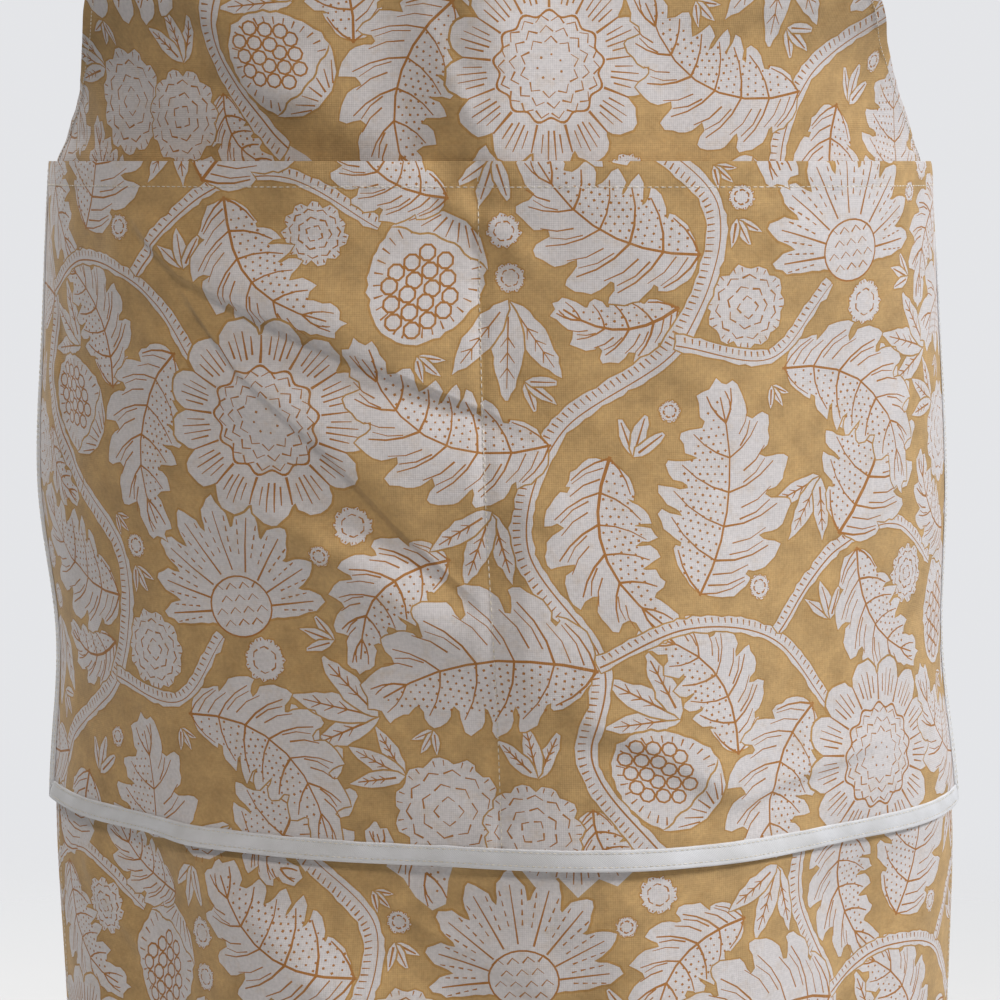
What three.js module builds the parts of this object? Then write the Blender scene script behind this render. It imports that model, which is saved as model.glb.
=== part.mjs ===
// A bib apron of printed cotton in the shape it takes when worn, hanging from its neck strap.
// Millimetres, +Z up. The wearer stands inside it and faces -Y, so +X is on a viewer's right.
// The origin is the middle of the neck strap's inner face, where it rests on the nape.
import * as THREE from "three";

// Sizes of the cut cloth
const flatHalfWidth = 305;
const bibHeight = 270;
const bibTopHalfWidth = 142;
const armholeCurve = 2.9;
const pocketHeight = 332;
const skirtDrop = 213;
const bodyWall = 1.5;
const pocketWall = 1.5;

// White bias binding along the pocket's side and lower edges
const bindingWidth = 9.5;
const bindingWall = 1;

// Neck strap and waist ties
const strapWidth = 25;
const strapWall = 2;
const strapOverlap = 26;
const strapInset = 7;
const tieWidth = 22;
const tieWall = 1.5;
const tieOverlap = 24;
const tieBelowTop = 3;
const knotWidth = 36;
const knotHeight = 30;
const knotDepth = 15;
const knotCorner = 7;
const tieEndLength = 190;
const tieEndSpread = 34;
const tieEndCurl = 3;
const tieEndStart = 0.3;

// The worn form
const frontReach = 215;
const bibDrop = 185;
const chestSetback = 16;
const knotSetback = 112;
const mouthGap = 19;
const backShare = 0.35;
const foldHeight = 12;
const foldWidth = 34;
const foldFade = 0.12;
const mouthRoundness = 1.1;
const mouthRise = 1.3;
const hemDip = 5;

// Room between pieces that touch
const clearance = 0.35;

// Steps of the faceted surfaces
const bibSteps = 13;
const pocketSteps = 14;
const skirtSteps = 8;
const halfColumns = 16;
const bibRowPower = 1.5;
const strapSteps = 44;
const strapSewnSteps = 2;
const tieSteps = 16;
const tieSewnSteps = 3;
const tieEndSteps = 8;
const knotCornerSteps = 4;
const turnSteps = 48;
const meetingDistance = 0.001;

const waistZ = -(bibDrop + bibHeight);
const pocketBottomZ = waistZ - pocketHeight;

// Levels run 1 at the bib's top, 0 at the pocket's folded top, -1 at its lower edge and -2 at the hem.
// turnLeft and turnRight are how far each side edge has turned away from the front, in degrees.
// lean is the sideways place of the middle, as a share of the flat half width.
const sections = [
  { level: 1, turnLeft: 40, turnRight: 42, lean: -0.03 },
  { level: 0.7, turnLeft: 38, turnRight: 39, lean: -0.034 },
  { level: 0.45, turnLeft: 40, turnRight: 41, lean: -0.036 },
  { level: 0.35, turnLeft: 46, turnRight: 47, lean: -0.036 },
  { level: 0.28, turnLeft: 58, turnRight: 59, lean: -0.036 },
  { level: 0.21, turnLeft: 72.5, turnRight: 77, lean: -0.036 },
  { level: 0.14, turnLeft: 79.5, turnRight: 83.5, lean: -0.036 },
  { level: 0.05, turnLeft: 80.5, turnRight: 84, lean: -0.035 },
  { level: 0, turnLeft: 78.6, turnRight: 82.2, lean: -0.034 },
  { level: -0.25, turnLeft: 75.6, turnRight: 78.9, lean: -0.03 },
  { level: -0.5, turnLeft: 72.6, turnRight: 77.8, lean: -0.021 },
  { level: -0.75, turnLeft: 74.5, turnRight: 80.8, lean: -0.006 },
  { level: -1, turnLeft: 70.9, turnRight: 77.1, lean: 0.003 },
  { level: -1.45, turnLeft: 72.5, turnRight: 77.2, lean: 0.003 },
  { level: -2, turnLeft: 75, turnRight: 78.5, lean: 0.003 },
];
// The left side turns evenly and the right side stays flatter before it turns.
const evenness = { left: 1.02, right: 1.3 };

// Folds and dents: across is a share of the flat half width, spread of foldWidth and push of foldHeight.
const folds = [
  { from: [-0.55, -0.14], to: [0.02, -0.26], spread: 0.7, push: 0.55 },
  { from: [-0.54, -0.21], to: [0.0, -0.34], spread: 0.4, push: -0.4 },
  { from: [-0.42, -0.31], to: [0.02, -0.46], spread: 0.9, push: 0.75 },
  { from: [-0.4, -0.38], to: [-0.06, -0.58], spread: 0.45, push: -0.45 },
  { from: [-0.47, -0.46], to: [-0.02, -0.67], spread: 0.8, push: 0.65 },
  { from: [-0.4, -0.61], to: [-0.12, -0.73], spread: 0.55, push: -0.35 },
  { from: [-0.05, 0.04], to: [-0.19, 0.62], spread: 0.6, push: -0.6 },
  { from: [0.02, 0.03], to: [0.02, 0.75], spread: 0.8, push: 0.6 },
  { from: [-0.3, 0.12], to: [-0.47, 0.45], spread: 0.8, push: 0.4 },
  { from: [0.3, 0.05], to: [0.2, 0.6], spread: 1.1, push: -0.35 },
  { from: [0.19, -0.7], to: [0.22, -1.5], spread: 2.3, push: 1.3 },
  { from: [0.52, -0.3], to: [0.46, -0.9], spread: 1.2, push: -0.4 },
  { from: [-0.52, -1.06], to: [-0.24, -1.32], spread: 0.7, push: 0.4 },
  { from: [-0.1, -1.1], to: [0.03, -1.5], spread: 0.7, push: -0.55 },
  { from: [-0.36, -1.35], to: [-0.4, -2.3], spread: 1.4, push: 0.9 },
  { from: [-0.66, -1.2], to: [-0.7, -2.3], spread: 1.1, push: -0.8 },
  { from: [0.62, -1.2], to: [0.6, -2.3], spread: 1.2, push: -0.8 },
  { from: [0.02, -1.5], to: [0.0, -2.3], spread: 1.0, push: -0.6 },
];

// The neck strap's right half, from the bib to the nape. down, back and side are shares of the bib's drop
// below the nape, its reach in front of the nape and the strap's place on it. wx, wy and wz point across
// the band, towards its outer edge.
const strapRows = [
  { down: 0.76, back: 0.95, side: 0.95, wx: 1, wy: 0.03, wz: 0 },
  { down: 0.52, back: 0.85, side: 0.88, wx: 1, wy: 0.1, wz: -0.02 },
  { down: 0.3, back: 0.71, side: 0.81, wx: 0.97, wy: 0.2, wz: -0.08 },
  { down: 0.12, back: 0.54, side: 0.74, wx: 0.92, wy: 0.32, wz: -0.2 },
  { down: 0.01, back: 0.37, side: 0.66, wx: 0.78, wy: 0.44, wz: -0.45 },
  { down: -0.03, back: 0.2, side: 0.52, wx: 0.5, wy: 0.42, wz: -0.76 },
  { down: -0.02, back: 0.065, side: 0.29, wx: 0.2, wy: 0.32, wz: -0.93 },
  { down: 0, back: 0, side: 0, wx: 0, wy: 0.26, wz: -0.97 },
];

// How long each waist tie keeps its first direction and how early it lies along the back, as shares.
const tieEase = { start: 0.62, finish: 0.72 };

const { lerp, clamp, smoothstep, degToRad } = THREE.MathUtils;

// A named column of the sections, read along a smooth curve through its rows.
function column(name, level) {
  const last = sections.length - 1;
  const at = clamp(level, sections[last].level, sections[0].level);
  const i = Math.max(0, sections.findIndex((row) => row.level <= at) - 1);
  const slope = (k) => {
    const before = sections[Math.max(0, k - 1)];
    const after = sections[Math.min(last, k + 1)];
    return (after[name] - before[name]) / (after.level - before.level);
  };
  const [from, to] = [sections[i], sections[i + 1]];
  const run = to.level - from.level;
  const t = (at - from.level) / run;
  const ease = t * t * (3 - 2 * t);
  const bends = run * t * (1 - t) * ((1 - t) * slope(i) - t * slope(i + 1));
  return lerp(from[name], to[name], ease) + bends;
}

// The height of a level.
function levelZ(level) {
  if (level > 0) {
    return waistZ + level * bibHeight;
  }
  if (level > -1) {
    return waistZ + level * pocketHeight;
  }
  return pocketBottomZ + (level + 1) * skirtDrop;
}

// The line of the cloth seen from above at one level, walked from its middle towards one side.
// It keeps the flat length, turns by the section's angle and carries on straight past the side edge.
function planPoint(across, level) {
  const side = Math.sign(across) || 1;
  const share = Math.abs(across);
  const turn = degToRad(column(side < 0 ? "turnLeft" : "turnRight", level));
  const power = side < 0 ? evenness.left : evenness.right;
  const step = share / turnSteps;
  let x = 0;
  let y = 0;
  for (let i = 0; i < turnSteps; i += 1) {
    const angle = turn * Math.min(1, (i + 0.5) * step) ** power;
    x += Math.cos(angle) * step * flatHalfWidth;
    y += Math.sin(angle) * step * flatHalfWidth;
  }
  const end = turn * Math.min(1, share) ** power;
  const lean = column("lean", level) * flatHalfWidth;
  const chest = chestSetback * smoothstep(level, 0, 1);
  return {
    x: lean + side * x,
    y: y + chest - frontReach,
    outX: side * Math.sin(end),
    outY: -Math.cos(end),
  };
}

// How far the folds push the cloth out at a place, from its distance to each fold's line.
function foldPush(across, level) {
  let push = 0;
  for (const fold of folds) {
    const ax = fold.from[0] * flatHalfWidth;
    const az = levelZ(fold.from[1]);
    const bx = fold.to[0] * flatHalfWidth - ax;
    const bz = levelZ(fold.to[1]) - az;
    const px = across * flatHalfWidth - ax;
    const pz = levelZ(level) - az;
    const t = clamp((px * bx + pz * bz) / (bx * bx + bz * bz), 0, 1);
    const away = Math.hypot(px - t * bx, pz - t * bz) / (fold.spread * foldWidth);
    push += fold.push * foldHeight * Math.exp(-away * away);
  }
  return push * smoothstep(1 - Math.abs(across), 0, foldFade);
}

// How open the pocket is at a place: nothing at its seams and foot, and wholly open at its two mouths.
function mouthShare(across, level) {
  const mouth = Math.sin(Math.PI * Math.min(1, Math.abs(across))) ** mouthRoundness;
  return mouth * clamp(1 + level, 0, 1) ** mouthRise;
}

// A point of the worn cloth, a given distance out from its middle layer, with a share of the folds.
function clothPoint(across, level, out, share = 1) {
  const plan = planPoint(across, level);
  const push = out + share * foldPush(across, level);
  const dip = hemDip * Math.abs(across) ** 2 * smoothstep(-level, 1, 2);
  return new THREE.Vector3(plan.x + plan.outX * push, plan.y + plan.outY * push, levelZ(level) + dip);
}

// The cut edge of the body: the armhole sweeps in from the pocket's top corner to the bib's top corner.
function edgeShare(level) {
  const top = bibTopHalfWidth / flatHalfWidth;
  return level > 0 ? lerp(top, 1, (1 - level) ** armholeCurve) : 1;
}

// How far the pocket's middle layer stands off the body's: close at the seams, open at the two mouths.
const bindingDepth = pocketWall / 2 + clearance + bindingWall;
const edgeStand = bodyWall / 2 + clearance + bindingDepth;
const seamStand = bodyWall / 2 + clearance + pocketWall / 2;
const seamSpread = 0.09;
const bindingRise = bindingWidth / pocketHeight;
const seamFoot = 4 * bindingRise;
function pocketStand(across, level) {
  const seam = Math.exp(-((across / seamSpread) ** 2)) * smoothstep(1 + level, bindingRise, seamFoot);
  return lerp(edgeStand, seamStand, seam) + mouthGap * mouthShare(across, level);
}

// Evenly spaced values from one number to another.
function spaced(from, to, steps) {
  return Array.from({ length: steps + 1 }, (_, i) => lerp(from, to, i / steps));
}

const wearerAxisShare = 0.3;
const wearerAxisY = -frontReach * wearerAxisShare;

// A closed wall through rows of matching outer and inner points, as a mesh of its cotton.
function wallMesh(name, rows, cotton) {
  const across = rows[0].outer.length;
  const ring = 2 * across;
  const points = rows.flatMap((row) => [...row.outer, ...[...row.inner].reverse()]);
  const faces = [];
  // A quad is split along the diagonal that lies further from the wearer, so that layers are split alike.
  const reach = (a, b) => {
    const middle = points[a].clone().add(points[b]).divideScalar(2);
    return Math.hypot(middle.x, middle.y - wearerAxisY);
  };
  const quad = (a, b, c, d) => {
    const split = reach(a, c) > reach(b, d) ? [a, b, c, a, c, d] : [b, c, d, b, d, a];
    faces.push(...split);
  };
  for (let row = 0; row < rows.length - 1; row += 1) {
    for (let i = 0; i < ring; i += 1) {
      const next = (i + 1) % ring;
      quad(row * ring + i, row * ring + next, (row + 1) * ring + next, (row + 1) * ring + i);
    }
  }
  const end = (rows.length - 1) * ring;
  for (let i = 0; i < across - 1; i += 1) {
    quad(i, ring - 1 - i, ring - 2 - i, i + 1);
    quad(end + i, end + i + 1, end + ring - 2 - i, end + ring - 1 - i);
  }
  // A face whose corners meet, as at a mitre, is left out.
  const apart = (a, b) => points[a].distanceTo(points[b]) > meetingDistance;
  const kept = [];
  let volume = 0;
  for (let i = 0; i < faces.length; i += 3) {
    const [a, b, c] = faces.slice(i, i + 3);
    if (apart(a, b) && apart(b, c) && apart(c, a)) {
      kept.push(a, b, c);
      volume += points[a].dot(new THREE.Vector3().crossVectors(points[b], points[c]));
    }
  }
  const geometry = new THREE.BufferGeometry();
  const coordinates = points.flatMap((point) => [point.x, point.y, point.z]);
  geometry.setAttribute("position", new THREE.Float32BufferAttribute(coordinates, 3));
  geometry.setIndex(volume < 0 ? kept.reverse() : kept);
  geometry.computeVertexNormals();
  return namedMesh(name, geometry, cotton);
}

// A mesh with its name and its cotton's look.
function namedMesh(name, geometry, { colour, roughness }) {
  const material = new THREE.MeshStandardMaterial({ color: colour, roughness, metalness: 0 });
  const mesh = new THREE.Mesh(geometry, material);
  mesh.name = name;
  return mesh;
}

const apron = new THREE.Group();
const printedCotton = { colour: 0xb9944f, roughness: 0.9 };
const bindingCotton = { colour: 0xdfe1e4, roughness: 0.85 };

// Columns and rows of the body and the pocket, which share them, with lines along the binding's edges.
const bindingInset = 1 - bindingWidth / flatHalfWidth;
const columns = [-1, ...spaced(-bindingInset, bindingInset, 2 * halfColumns), 1];

// Body: bib, waist and skirt in one piece. Its rows stand closer together where the armhole sweeps.
// Behind the open pocket, and for a short way above it, it has only a share of the folds.
const backFade = 0.15;
const bibLevels = spaced(1, 0, bibSteps).map((level) => level ** bibRowPower);
const pocketLevels = [...spaced(0, bindingRise - 1, pocketSteps), -1];
const tapeFoot = -1 - (clearance + bindingWall) / skirtDrop;
const skirtLevels = spaced(tapeFoot, -2, skirtSteps);
const bodyLevels = [...bibLevels.slice(0, -1), ...pocketLevels, ...skirtLevels];
function bodyPoint(across, level, out) {
  const behind = mouthShare(across, level) * smoothstep(-level, -backFade, 0);
  return clothPoint(across, level, out, 1 - (1 - backShare) * behind);
}
const bodyRows = bodyLevels.map((level) => ({
  outer: columns.map((share) => bodyPoint(share * edgeShare(level), level, bodyWall / 2)),
  inner: columns.map((share) => bodyPoint(share * edgeShare(level), level, -bodyWall / 2)),
}));
apron.add(wallMesh("apron_body", bodyRows, printedCotton));

// Pocket: one panel across the whole front, open along its top.
const pocketRows = pocketLevels.map((level) => ({
  outer: columns.map((share) => clothPoint(share, level, pocketStand(share, level) + pocketWall / 2)),
  inner: columns.map((share) => clothPoint(share, level, pocketStand(share, level) - pocketWall / 2)),
}));
apron.add(wallMesh("pocket_panel", pocketRows, printedCotton));

// Binding: a tape folded round the pocket's edge. Its section runs from the front leg's inner edge, round
// the fold and back to the rear leg's inner edge. inward is the distance from the pocket's cut edge.
const tapeOuter = [
  { inward: bindingWidth, out: bindingDepth },
  { inward: -clearance - bindingWall, out: bindingDepth },
  { inward: -clearance - bindingWall, out: -bindingDepth },
  { inward: bindingWidth, out: -bindingDepth },
];
const tapeInner = [
  { inward: bindingWidth, out: bindingDepth - bindingWall },
  { inward: -clearance, out: bindingDepth - bindingWall },
  { inward: -clearance, out: bindingWall - bindingDepth },
  { inward: bindingWidth, out: bindingWall - bindingDepth },
];
const mitreGap = clearance / 2;

// A point of the tape along the lower edge. It ends on the mitre, where it is as far from the side edge.
function lowerTape(share, { inward, out }) {
  const reach = 1 - (inward + mitreGap) / flatHalfWidth;
  const across = clamp(share, -reach, reach);
  const level = -1 + inward / (inward > 0 ? pocketHeight : skirtDrop);
  return clothPoint(across, level, pocketStand(across, level) + out);
}
const lowerReach = 1 + (clearance + bindingWall) / flatHalfWidth;
const lowerShares = [-lowerReach, ...columns.slice(1, -1), lowerReach];
const lowerRows = lowerShares.map((share) => ({
  outer: tapeOuter.map((corner) => lowerTape(share, corner)),
  inner: tapeInner.map((corner) => lowerTape(share, corner)),
}));
apron.add(wallMesh("pocket_binding_bottom", lowerRows, bindingCotton));

// A point of the tape up one side, from its mitre to the pocket's top.
function sideTape(side, rise, { inward, out }) {
  const fromEdge = inward + mitreGap;
  const foot = -1 + fromEdge / (fromEdge > 0 ? pocketHeight : skirtDrop);
  const level = Math.max(rise, foot);
  const across = side * (1 - inward / flatHalfWidth);
  return clothPoint(across, level, pocketStand(across, level) + out);
}
const sideRises = [tapeFoot, ...[...pocketLevels].reverse()];
for (const [name, side] of [["left", -1], ["right", 1]]) {
  const rows = sideRises.map((rise) => ({
    outer: tapeOuter.map((corner) => sideTape(side, rise, corner)),
    inner: tapeInner.map((corner) => sideTape(side, rise, corner)),
  }));
  apron.add(wallMesh(`pocket_binding_${name}`, rows, bindingCotton));
}

// One cross-section of a free band: its inner face is on the point and its outer face a wall further out.
function bandRow(point, across, out, width, wall) {
  const half = across.clone().normalize().multiplyScalar(width / 2);
  const lift = out.clone().normalize().multiplyScalar(wall);
  const inner = [point.clone().sub(half), point.clone().add(half)];
  return { inner, outer: inner.map((corner) => corner.clone().add(lift)) };
}

// One cross-section of a band where it is sewn behind the body, through places on the body's cloth.
function sewnRow(places, wall) {
  const outer = -bodyWall / 2 - clearance;
  return {
    inner: places.map(([across, level]) => clothPoint(across, level, outer - wall)),
    outer: places.map(([across, level]) => clothPoint(across, level, outer)),
  };
}

// Neck strap: a whole loop from one bib corner round the nape to the other, sewn behind the bib's top.
const strapShare = (bibTopHalfWidth - strapInset - strapWidth / 2) / flatHalfWidth;
const strapHalfShare = strapWidth / 2 / flatHalfWidth;
const sewnLevels = spaced(1 - strapOverlap / bibHeight, 1, strapSewnSteps);
function strapSewn(side, level) {
  return sewnRow([-1, 1].map((edge) => [side * (strapShare + edge * strapHalfShare), level]), strapWall);
}
function strapFoot(side) {
  const [near, far] = strapSewn(side, 1).inner;
  return { at: near.clone().lerp(far, 0.5), across: far.clone().sub(near).normalize() };
}

// The free part's curve, its inner face through the nape at the origin.
const strapPath = [1, -1].map((side) => {
  const foot = strapFoot(side);
  const rest = strapRows.map((row) => ({
    at: new THREE.Vector3(foot.at.x * row.side, foot.at.y * row.back, foot.at.z * row.down),
    across: new THREE.Vector3(row.wx * side, row.wy, row.wz).normalize(),
  }));
  return [foot, ...rest];
});
const strapLoop = [...strapPath[0], ...[...strapPath[1]].reverse().slice(1)];
const strapCurve = new THREE.CatmullRomCurve3(strapLoop.map(({ at }) => at), false, "centripetal");
const acrossCurve = new THREE.CatmullRomCurve3(strapLoop.map(({ across }) => across), false, "centripetal");
const freeStrap = spaced(0, 1, strapSteps).slice(1, -1).map((t) => {
  const along = strapCurve.getTangent(t);
  const across = acrossCurve.getPoint(t);
  across.addScaledVector(along, -across.dot(along));
  const out = new THREE.Vector3().crossVectors(across, along);
  return bandRow(strapCurve.getPoint(t), across, out, strapWidth, strapWall);
});
const strapSections = [
  ...sewnLevels.map((level) => strapSewn(1, level)),
  ...freeStrap,
  ...[...sewnLevels].reverse().map((level) => strapSewn(-1, level)),
];
apron.add(wallMesh("neck_strap", strapSections, printedCotton));

// Waist ties: each is sewn behind the pocket's top corner and follows the waist round to the knot.
const tieLevel = -(tieBelowTop + tieWidth / 2) / pocketHeight;
const tieHalfLevel = tieWidth / 2 / pocketHeight;
const tieZ = levelZ(tieLevel);
const knotY = planPoint(1, tieLevel).y + knotSetback;
const up = new THREE.Vector3(0, 0, 1);
function tieSections(side) {
  const sewnShares = spaced(1 - tieOverlap / flatHalfWidth, 1, tieSewnSteps);
  const sewnPart = sewnShares.map((share) =>
    sewnRow([-1, 1].map((edge) => [side * share, tieLevel + edge * tieHalfLevel]), tieWall),
  );
  const [low, high] = sewnPart[sewnPart.length - 1].inner;
  const edge = low.clone().lerp(high, 0.5);
  const plan = planPoint(side, tieLevel);
  const along = new THREE.Vector3(-plan.outY * side, plan.outX * side, 0);
  const reach = knotY - edge.y;
  const finish = new THREE.Vector3(side * (knotWidth / 2 + clearance), knotY - tieWall / 2, edge.z);
  const curve = new THREE.CubicBezierCurve3(
    edge,
    edge.clone().addScaledVector(along, reach * tieEase.start),
    new THREE.Vector3(edge.x * tieEase.finish, finish.y, edge.z),
    finish,
  );
  const freePart = spaced(0, 1, tieSteps).slice(1).map((t) => {
    const direction = curve.getTangent(t);
    const out = new THREE.Vector3(direction.y * side, -direction.x * side, 0);
    return bandRow(curve.getPoint(t), up, out, tieWidth, tieWall);
  });
  return [...sewnPart, ...freePart];
}
apron.add(wallMesh("waist_tie_left", tieSections(-1), printedCotton));
apron.add(wallMesh("waist_tie_right", tieSections(1), printedCotton));

// Knot: one plain rounded block between the ties.
const knotOutline = new THREE.Shape();
const knotX = knotWidth / 2;
const knotZ = knotHeight / 2;
for (const [x, z, quarter] of [[-1, 1, 2], [1, 1, 1], [1, -1, 0], [-1, -1, -1]]) {
  const start = (quarter * Math.PI) / 2;
  const cornerX = x * (knotX - knotCorner);
  const cornerZ = z * (knotZ - knotCorner);
  knotOutline.absarc(cornerX, cornerZ, knotCorner, start, start - Math.PI / 2, true);
}
const knotGeometry = new THREE.ExtrudeGeometry(knotOutline, {
  depth: knotDepth,
  steps: 1,
  curveSegments: knotCornerSteps,
  bevelEnabled: false,
});
knotGeometry.translate(0, 0, -knotDepth / 2);
knotGeometry.rotateX(Math.PI / 2);
knotGeometry.translate(0, knotY, tieZ);
apron.add(namedMesh("tie_knot", knotGeometry, printedCotton));

// Hanging ends: two bands below the knot, one in front of the other, that part as they fall.
const endTop = tieZ - knotHeight / 2 - clearance;
const sideways = new THREE.Vector3(1, 0, 0);
const backwards = new THREE.Vector3(0, 1, 0);
function endSections(side) {
  const layer = knotY + (side * knotDepth) / 4 - tieWall / 2;
  return spaced(0, 1, tieEndSteps).map((t) => {
    const spread = (tieEndSpread / 2) * lerp(tieEndStart, 1, Math.sin((t * Math.PI) / 2));
    const curl = tieEndCurl * Math.sin(t * Math.PI);
    const at = new THREE.Vector3(side * spread, layer + side * curl, endTop - t * tieEndLength);
    return bandRow(at, sideways, backwards, tieWidth, tieWall);
  });
}
apron.add(wallMesh("tie_end_left", endSections(-1), printedCotton));
apron.add(wallMesh("tie_end_right", endSections(1), printedCotton));

export default apron;
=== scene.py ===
import cmath
import math
import random

import bpy
import numpy as np
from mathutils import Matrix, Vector
from mathutils.geometry import delaunay_2d_cdt


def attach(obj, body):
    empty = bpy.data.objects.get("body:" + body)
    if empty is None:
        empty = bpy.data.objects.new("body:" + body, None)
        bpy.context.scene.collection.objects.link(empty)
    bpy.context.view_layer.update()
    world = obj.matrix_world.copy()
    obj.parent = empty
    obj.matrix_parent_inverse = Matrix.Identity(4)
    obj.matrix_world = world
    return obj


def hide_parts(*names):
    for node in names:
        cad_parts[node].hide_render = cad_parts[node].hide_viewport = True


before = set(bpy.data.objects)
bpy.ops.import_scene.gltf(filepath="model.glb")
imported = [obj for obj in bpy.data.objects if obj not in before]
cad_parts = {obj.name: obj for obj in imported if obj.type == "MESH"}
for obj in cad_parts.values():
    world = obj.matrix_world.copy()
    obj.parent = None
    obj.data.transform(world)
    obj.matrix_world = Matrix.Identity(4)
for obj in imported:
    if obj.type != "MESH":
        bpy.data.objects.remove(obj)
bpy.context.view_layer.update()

# Camera: level with the pocket's top, 1.5 m in front of the cloth, and tipped a little down.
CAMERA_PLACE = (0.0, -1.715, -0.455)
CAMERA_TIP = 6.03
LENS_MM = 115.51
camera_data = bpy.data.cameras.new("camera")
camera_data.lens = LENS_MM
camera_data.sensor_width = 36.0
camera = bpy.data.objects.new("camera", camera_data)
camera.location = CAMERA_PLACE
camera.rotation_euler = (math.radians(90.0 - CAMERA_TIP), 0.0, 0.0)
bpy.context.scene.collection.objects.link(camera)
bpy.context.scene.camera = camera


# Apron body: bib, waist and skirt cut in one piece from a light plain-weave cotton, block printed, with
# its edges turned in and stitched. It hangs from the neck strap and is held to the waist by the ties, so
# the front bends round the wearer and soft folds run from the pocket's mouths. Sizes are in millimetres.
MM = 0.001
FLAT_HALF_WIDTH = 305.0
BIB_HEIGHT = 270.0
BIB_TOP_HALF_WIDTH = 142.0
ARMHOLE_CURVE = 2.9
POCKET_HEIGHT = 332.0
SKIRT_DROP = 213.0
CAD_WALL = 1.5
CLOTH_WALL = 0.9
CLEARANCE = 0.35
FRONT_REACH = 215.0
BIB_DROP = 185.0
CHEST_SETBACK = 16.0
BACK_SHARE = 0.35
BACK_FADE = 0.15
FOLD_HEIGHT = 12.0
FOLD_WIDTH = 34.0
FOLD_FADE = 0.12
HEM_DIP = 5.0
TURN_STEPS = 48
WAIST_Z = -(BIB_DROP + BIB_HEIGHT)
POCKET_BOTTOM_Z = WAIST_Z - POCKET_HEIGHT
HEM_Z = POCKET_BOTTOM_Z - SKIRT_DROP
BIB_TOP_Z = -BIB_DROP

# Each row: level (1 bib top, 0 pocket top, -1 pocket foot, -2 hem), the turn of the left and the right
# edge away from the front in degrees, and the middle's sideways place as a share of the half width.
SECTIONS = np.array([
    (-2.0, 75.0, 78.5, 0.003), (-1.45, 72.5, 77.2, 0.003), (-1.0, 70.9, 77.1, 0.003),
    (-0.75, 74.5, 80.8, -0.006), (-0.5, 72.6, 77.8, -0.021), (-0.25, 75.6, 78.9, -0.03),
    (0.0, 78.6, 82.2, -0.034), (0.05, 80.5, 84.0, -0.035), (0.14, 79.5, 83.5, -0.036),
    (0.21, 72.5, 77.0, -0.036), (0.28, 58.0, 59.0, -0.036), (0.35, 46.0, 47.0, -0.036),
    (0.45, 40.0, 41.0, -0.036), (0.7, 38.0, 39.0, -0.034), (1.0, 40.0, 42.0, -0.03),
])
EVENNESS = (1.02, 1.3)

# Folds: a line from one place to another (across as a share of the half width, level), then its spread
# in fold widths and its push in fold heights.
FOLDS = [
    (-0.55, -0.14, 0.02, -0.26, 0.7, 0.3), (-0.54, -0.21, 0.0, -0.34, 0.4, -0.15),
    (-0.42, -0.31, 0.02, -0.46, 0.9, 0.5), (-0.4, -0.38, -0.06, -0.58, 0.45, -0.25),
    (-0.47, -0.46, -0.02, -0.67, 0.8, 0.45), (-0.4, -0.61, -0.12, -0.73, 0.55, -0.3),
    (-0.05, 0.04, -0.19, 0.62, 0.6, -0.6), (0.02, 0.03, 0.02, 0.75, 0.8, 0.6),
    (-0.3, 0.12, -0.47, 0.45, 0.8, 0.4), (0.3, 0.05, 0.2, 0.6, 1.1, -0.35),
    (0.19, -0.7, 0.22, -1.5, 2.3, 1.3), (0.52, -0.3, 0.46, -0.9, 1.2, -0.4),
    (-0.52, -1.06, -0.24, -1.32, 0.7, 0.4), (-0.1, -1.1, 0.03, -1.5, 0.7, -0.55),
    (-0.36, -1.3, -0.4, -2.3, 1.2, 1.0), (-0.66, -1.15, -0.7, -2.3, 1.0, -0.9),
    (0.62, -1.15, 0.6, -2.3, 1.1, -1.0), (0.02, -1.5, 0.0, -2.3, 1.0, -0.6),
]

# Creases: sharper than the folds. Each row has its reach above and below the line, its push, and the
# places that it runs through on the flat cloth, all in millimetres.
CREASES = [
    (20.0, 4.0, 4.6, [(-166, -479), (-136, -507), (-80, -533), (-28, -557), (22, -579)]),
    (15.0, 3.0, 3.6, [(-138, -513), (-108, -553), (-68, -591), (-40, -625), (0, -665)]),
    (14.0, 11.0, 3.0, [(-124, -601), (-70, -639), (-18, -681)]),
    (8.0, 6.0, 2.2, [(-18, -469), (6, -487), (26, -509)]),
    (12.0, 8.0, 1.3, [(-94, -695), (-44, -703), (-8, -717)]),
    (26.0, 9.0, 3.6, [(28, -709), (68, -727), (118, -759)]),
    (11.0, 5.0, 2.0, [(104, -759), (148, -749), (206, -737)]),
    (22.0, 9.0, 2.6, [(22, -600), (16, -677), (12, -775)]),
    (16.0, 13.0, 4.0, [(-142, -365), (-104, -417), (-68, -455)]),
    (9.0, 21.0, 5.0, [(-46, -325), (-18, -409), (4, -455)]),
    (10.0, 8.0, 2.2, [(-262, -808), (-238, -830), (-212, -852), (-200, -880)]),
    (15.0, 5.5, 3.2, [(-60, -804), (-30, -822), (8, -842), (34, -860)]),
    (13.0, 13.0, 2.6, [(-162, -802), (-116, -824), (-80, -854), (-66, -900)]),
    (20.0, 20.0, 3.0, [(50, -798), (62, -850), (66, -930)]),
    (12.0, 7.0, 1.6, [(150, -476), (120, -520), (70, -560)]),
    (14.0, 8.0, 1.5, [(214, -560), (196, -620), (150, -690)]),
    (10.0, 6.0, -1.2, [(-250, -520), (-236, -600), (-244, -700)]),
    (12.0, 8.0, 1.4, [(120, -320), (96, -380), (40, -450)]),
    (14.0, 9.0, 1.8, [(190, -800), (176, -860), (184, -960)]),
]


def smooth(value, low, high):
    """Nought at low and one at high, with an even change between."""
    t = np.clip((value - low) / (high - low), 0.0, 1.0)
    return t * t * (3.0 - 2.0 * t)


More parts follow.
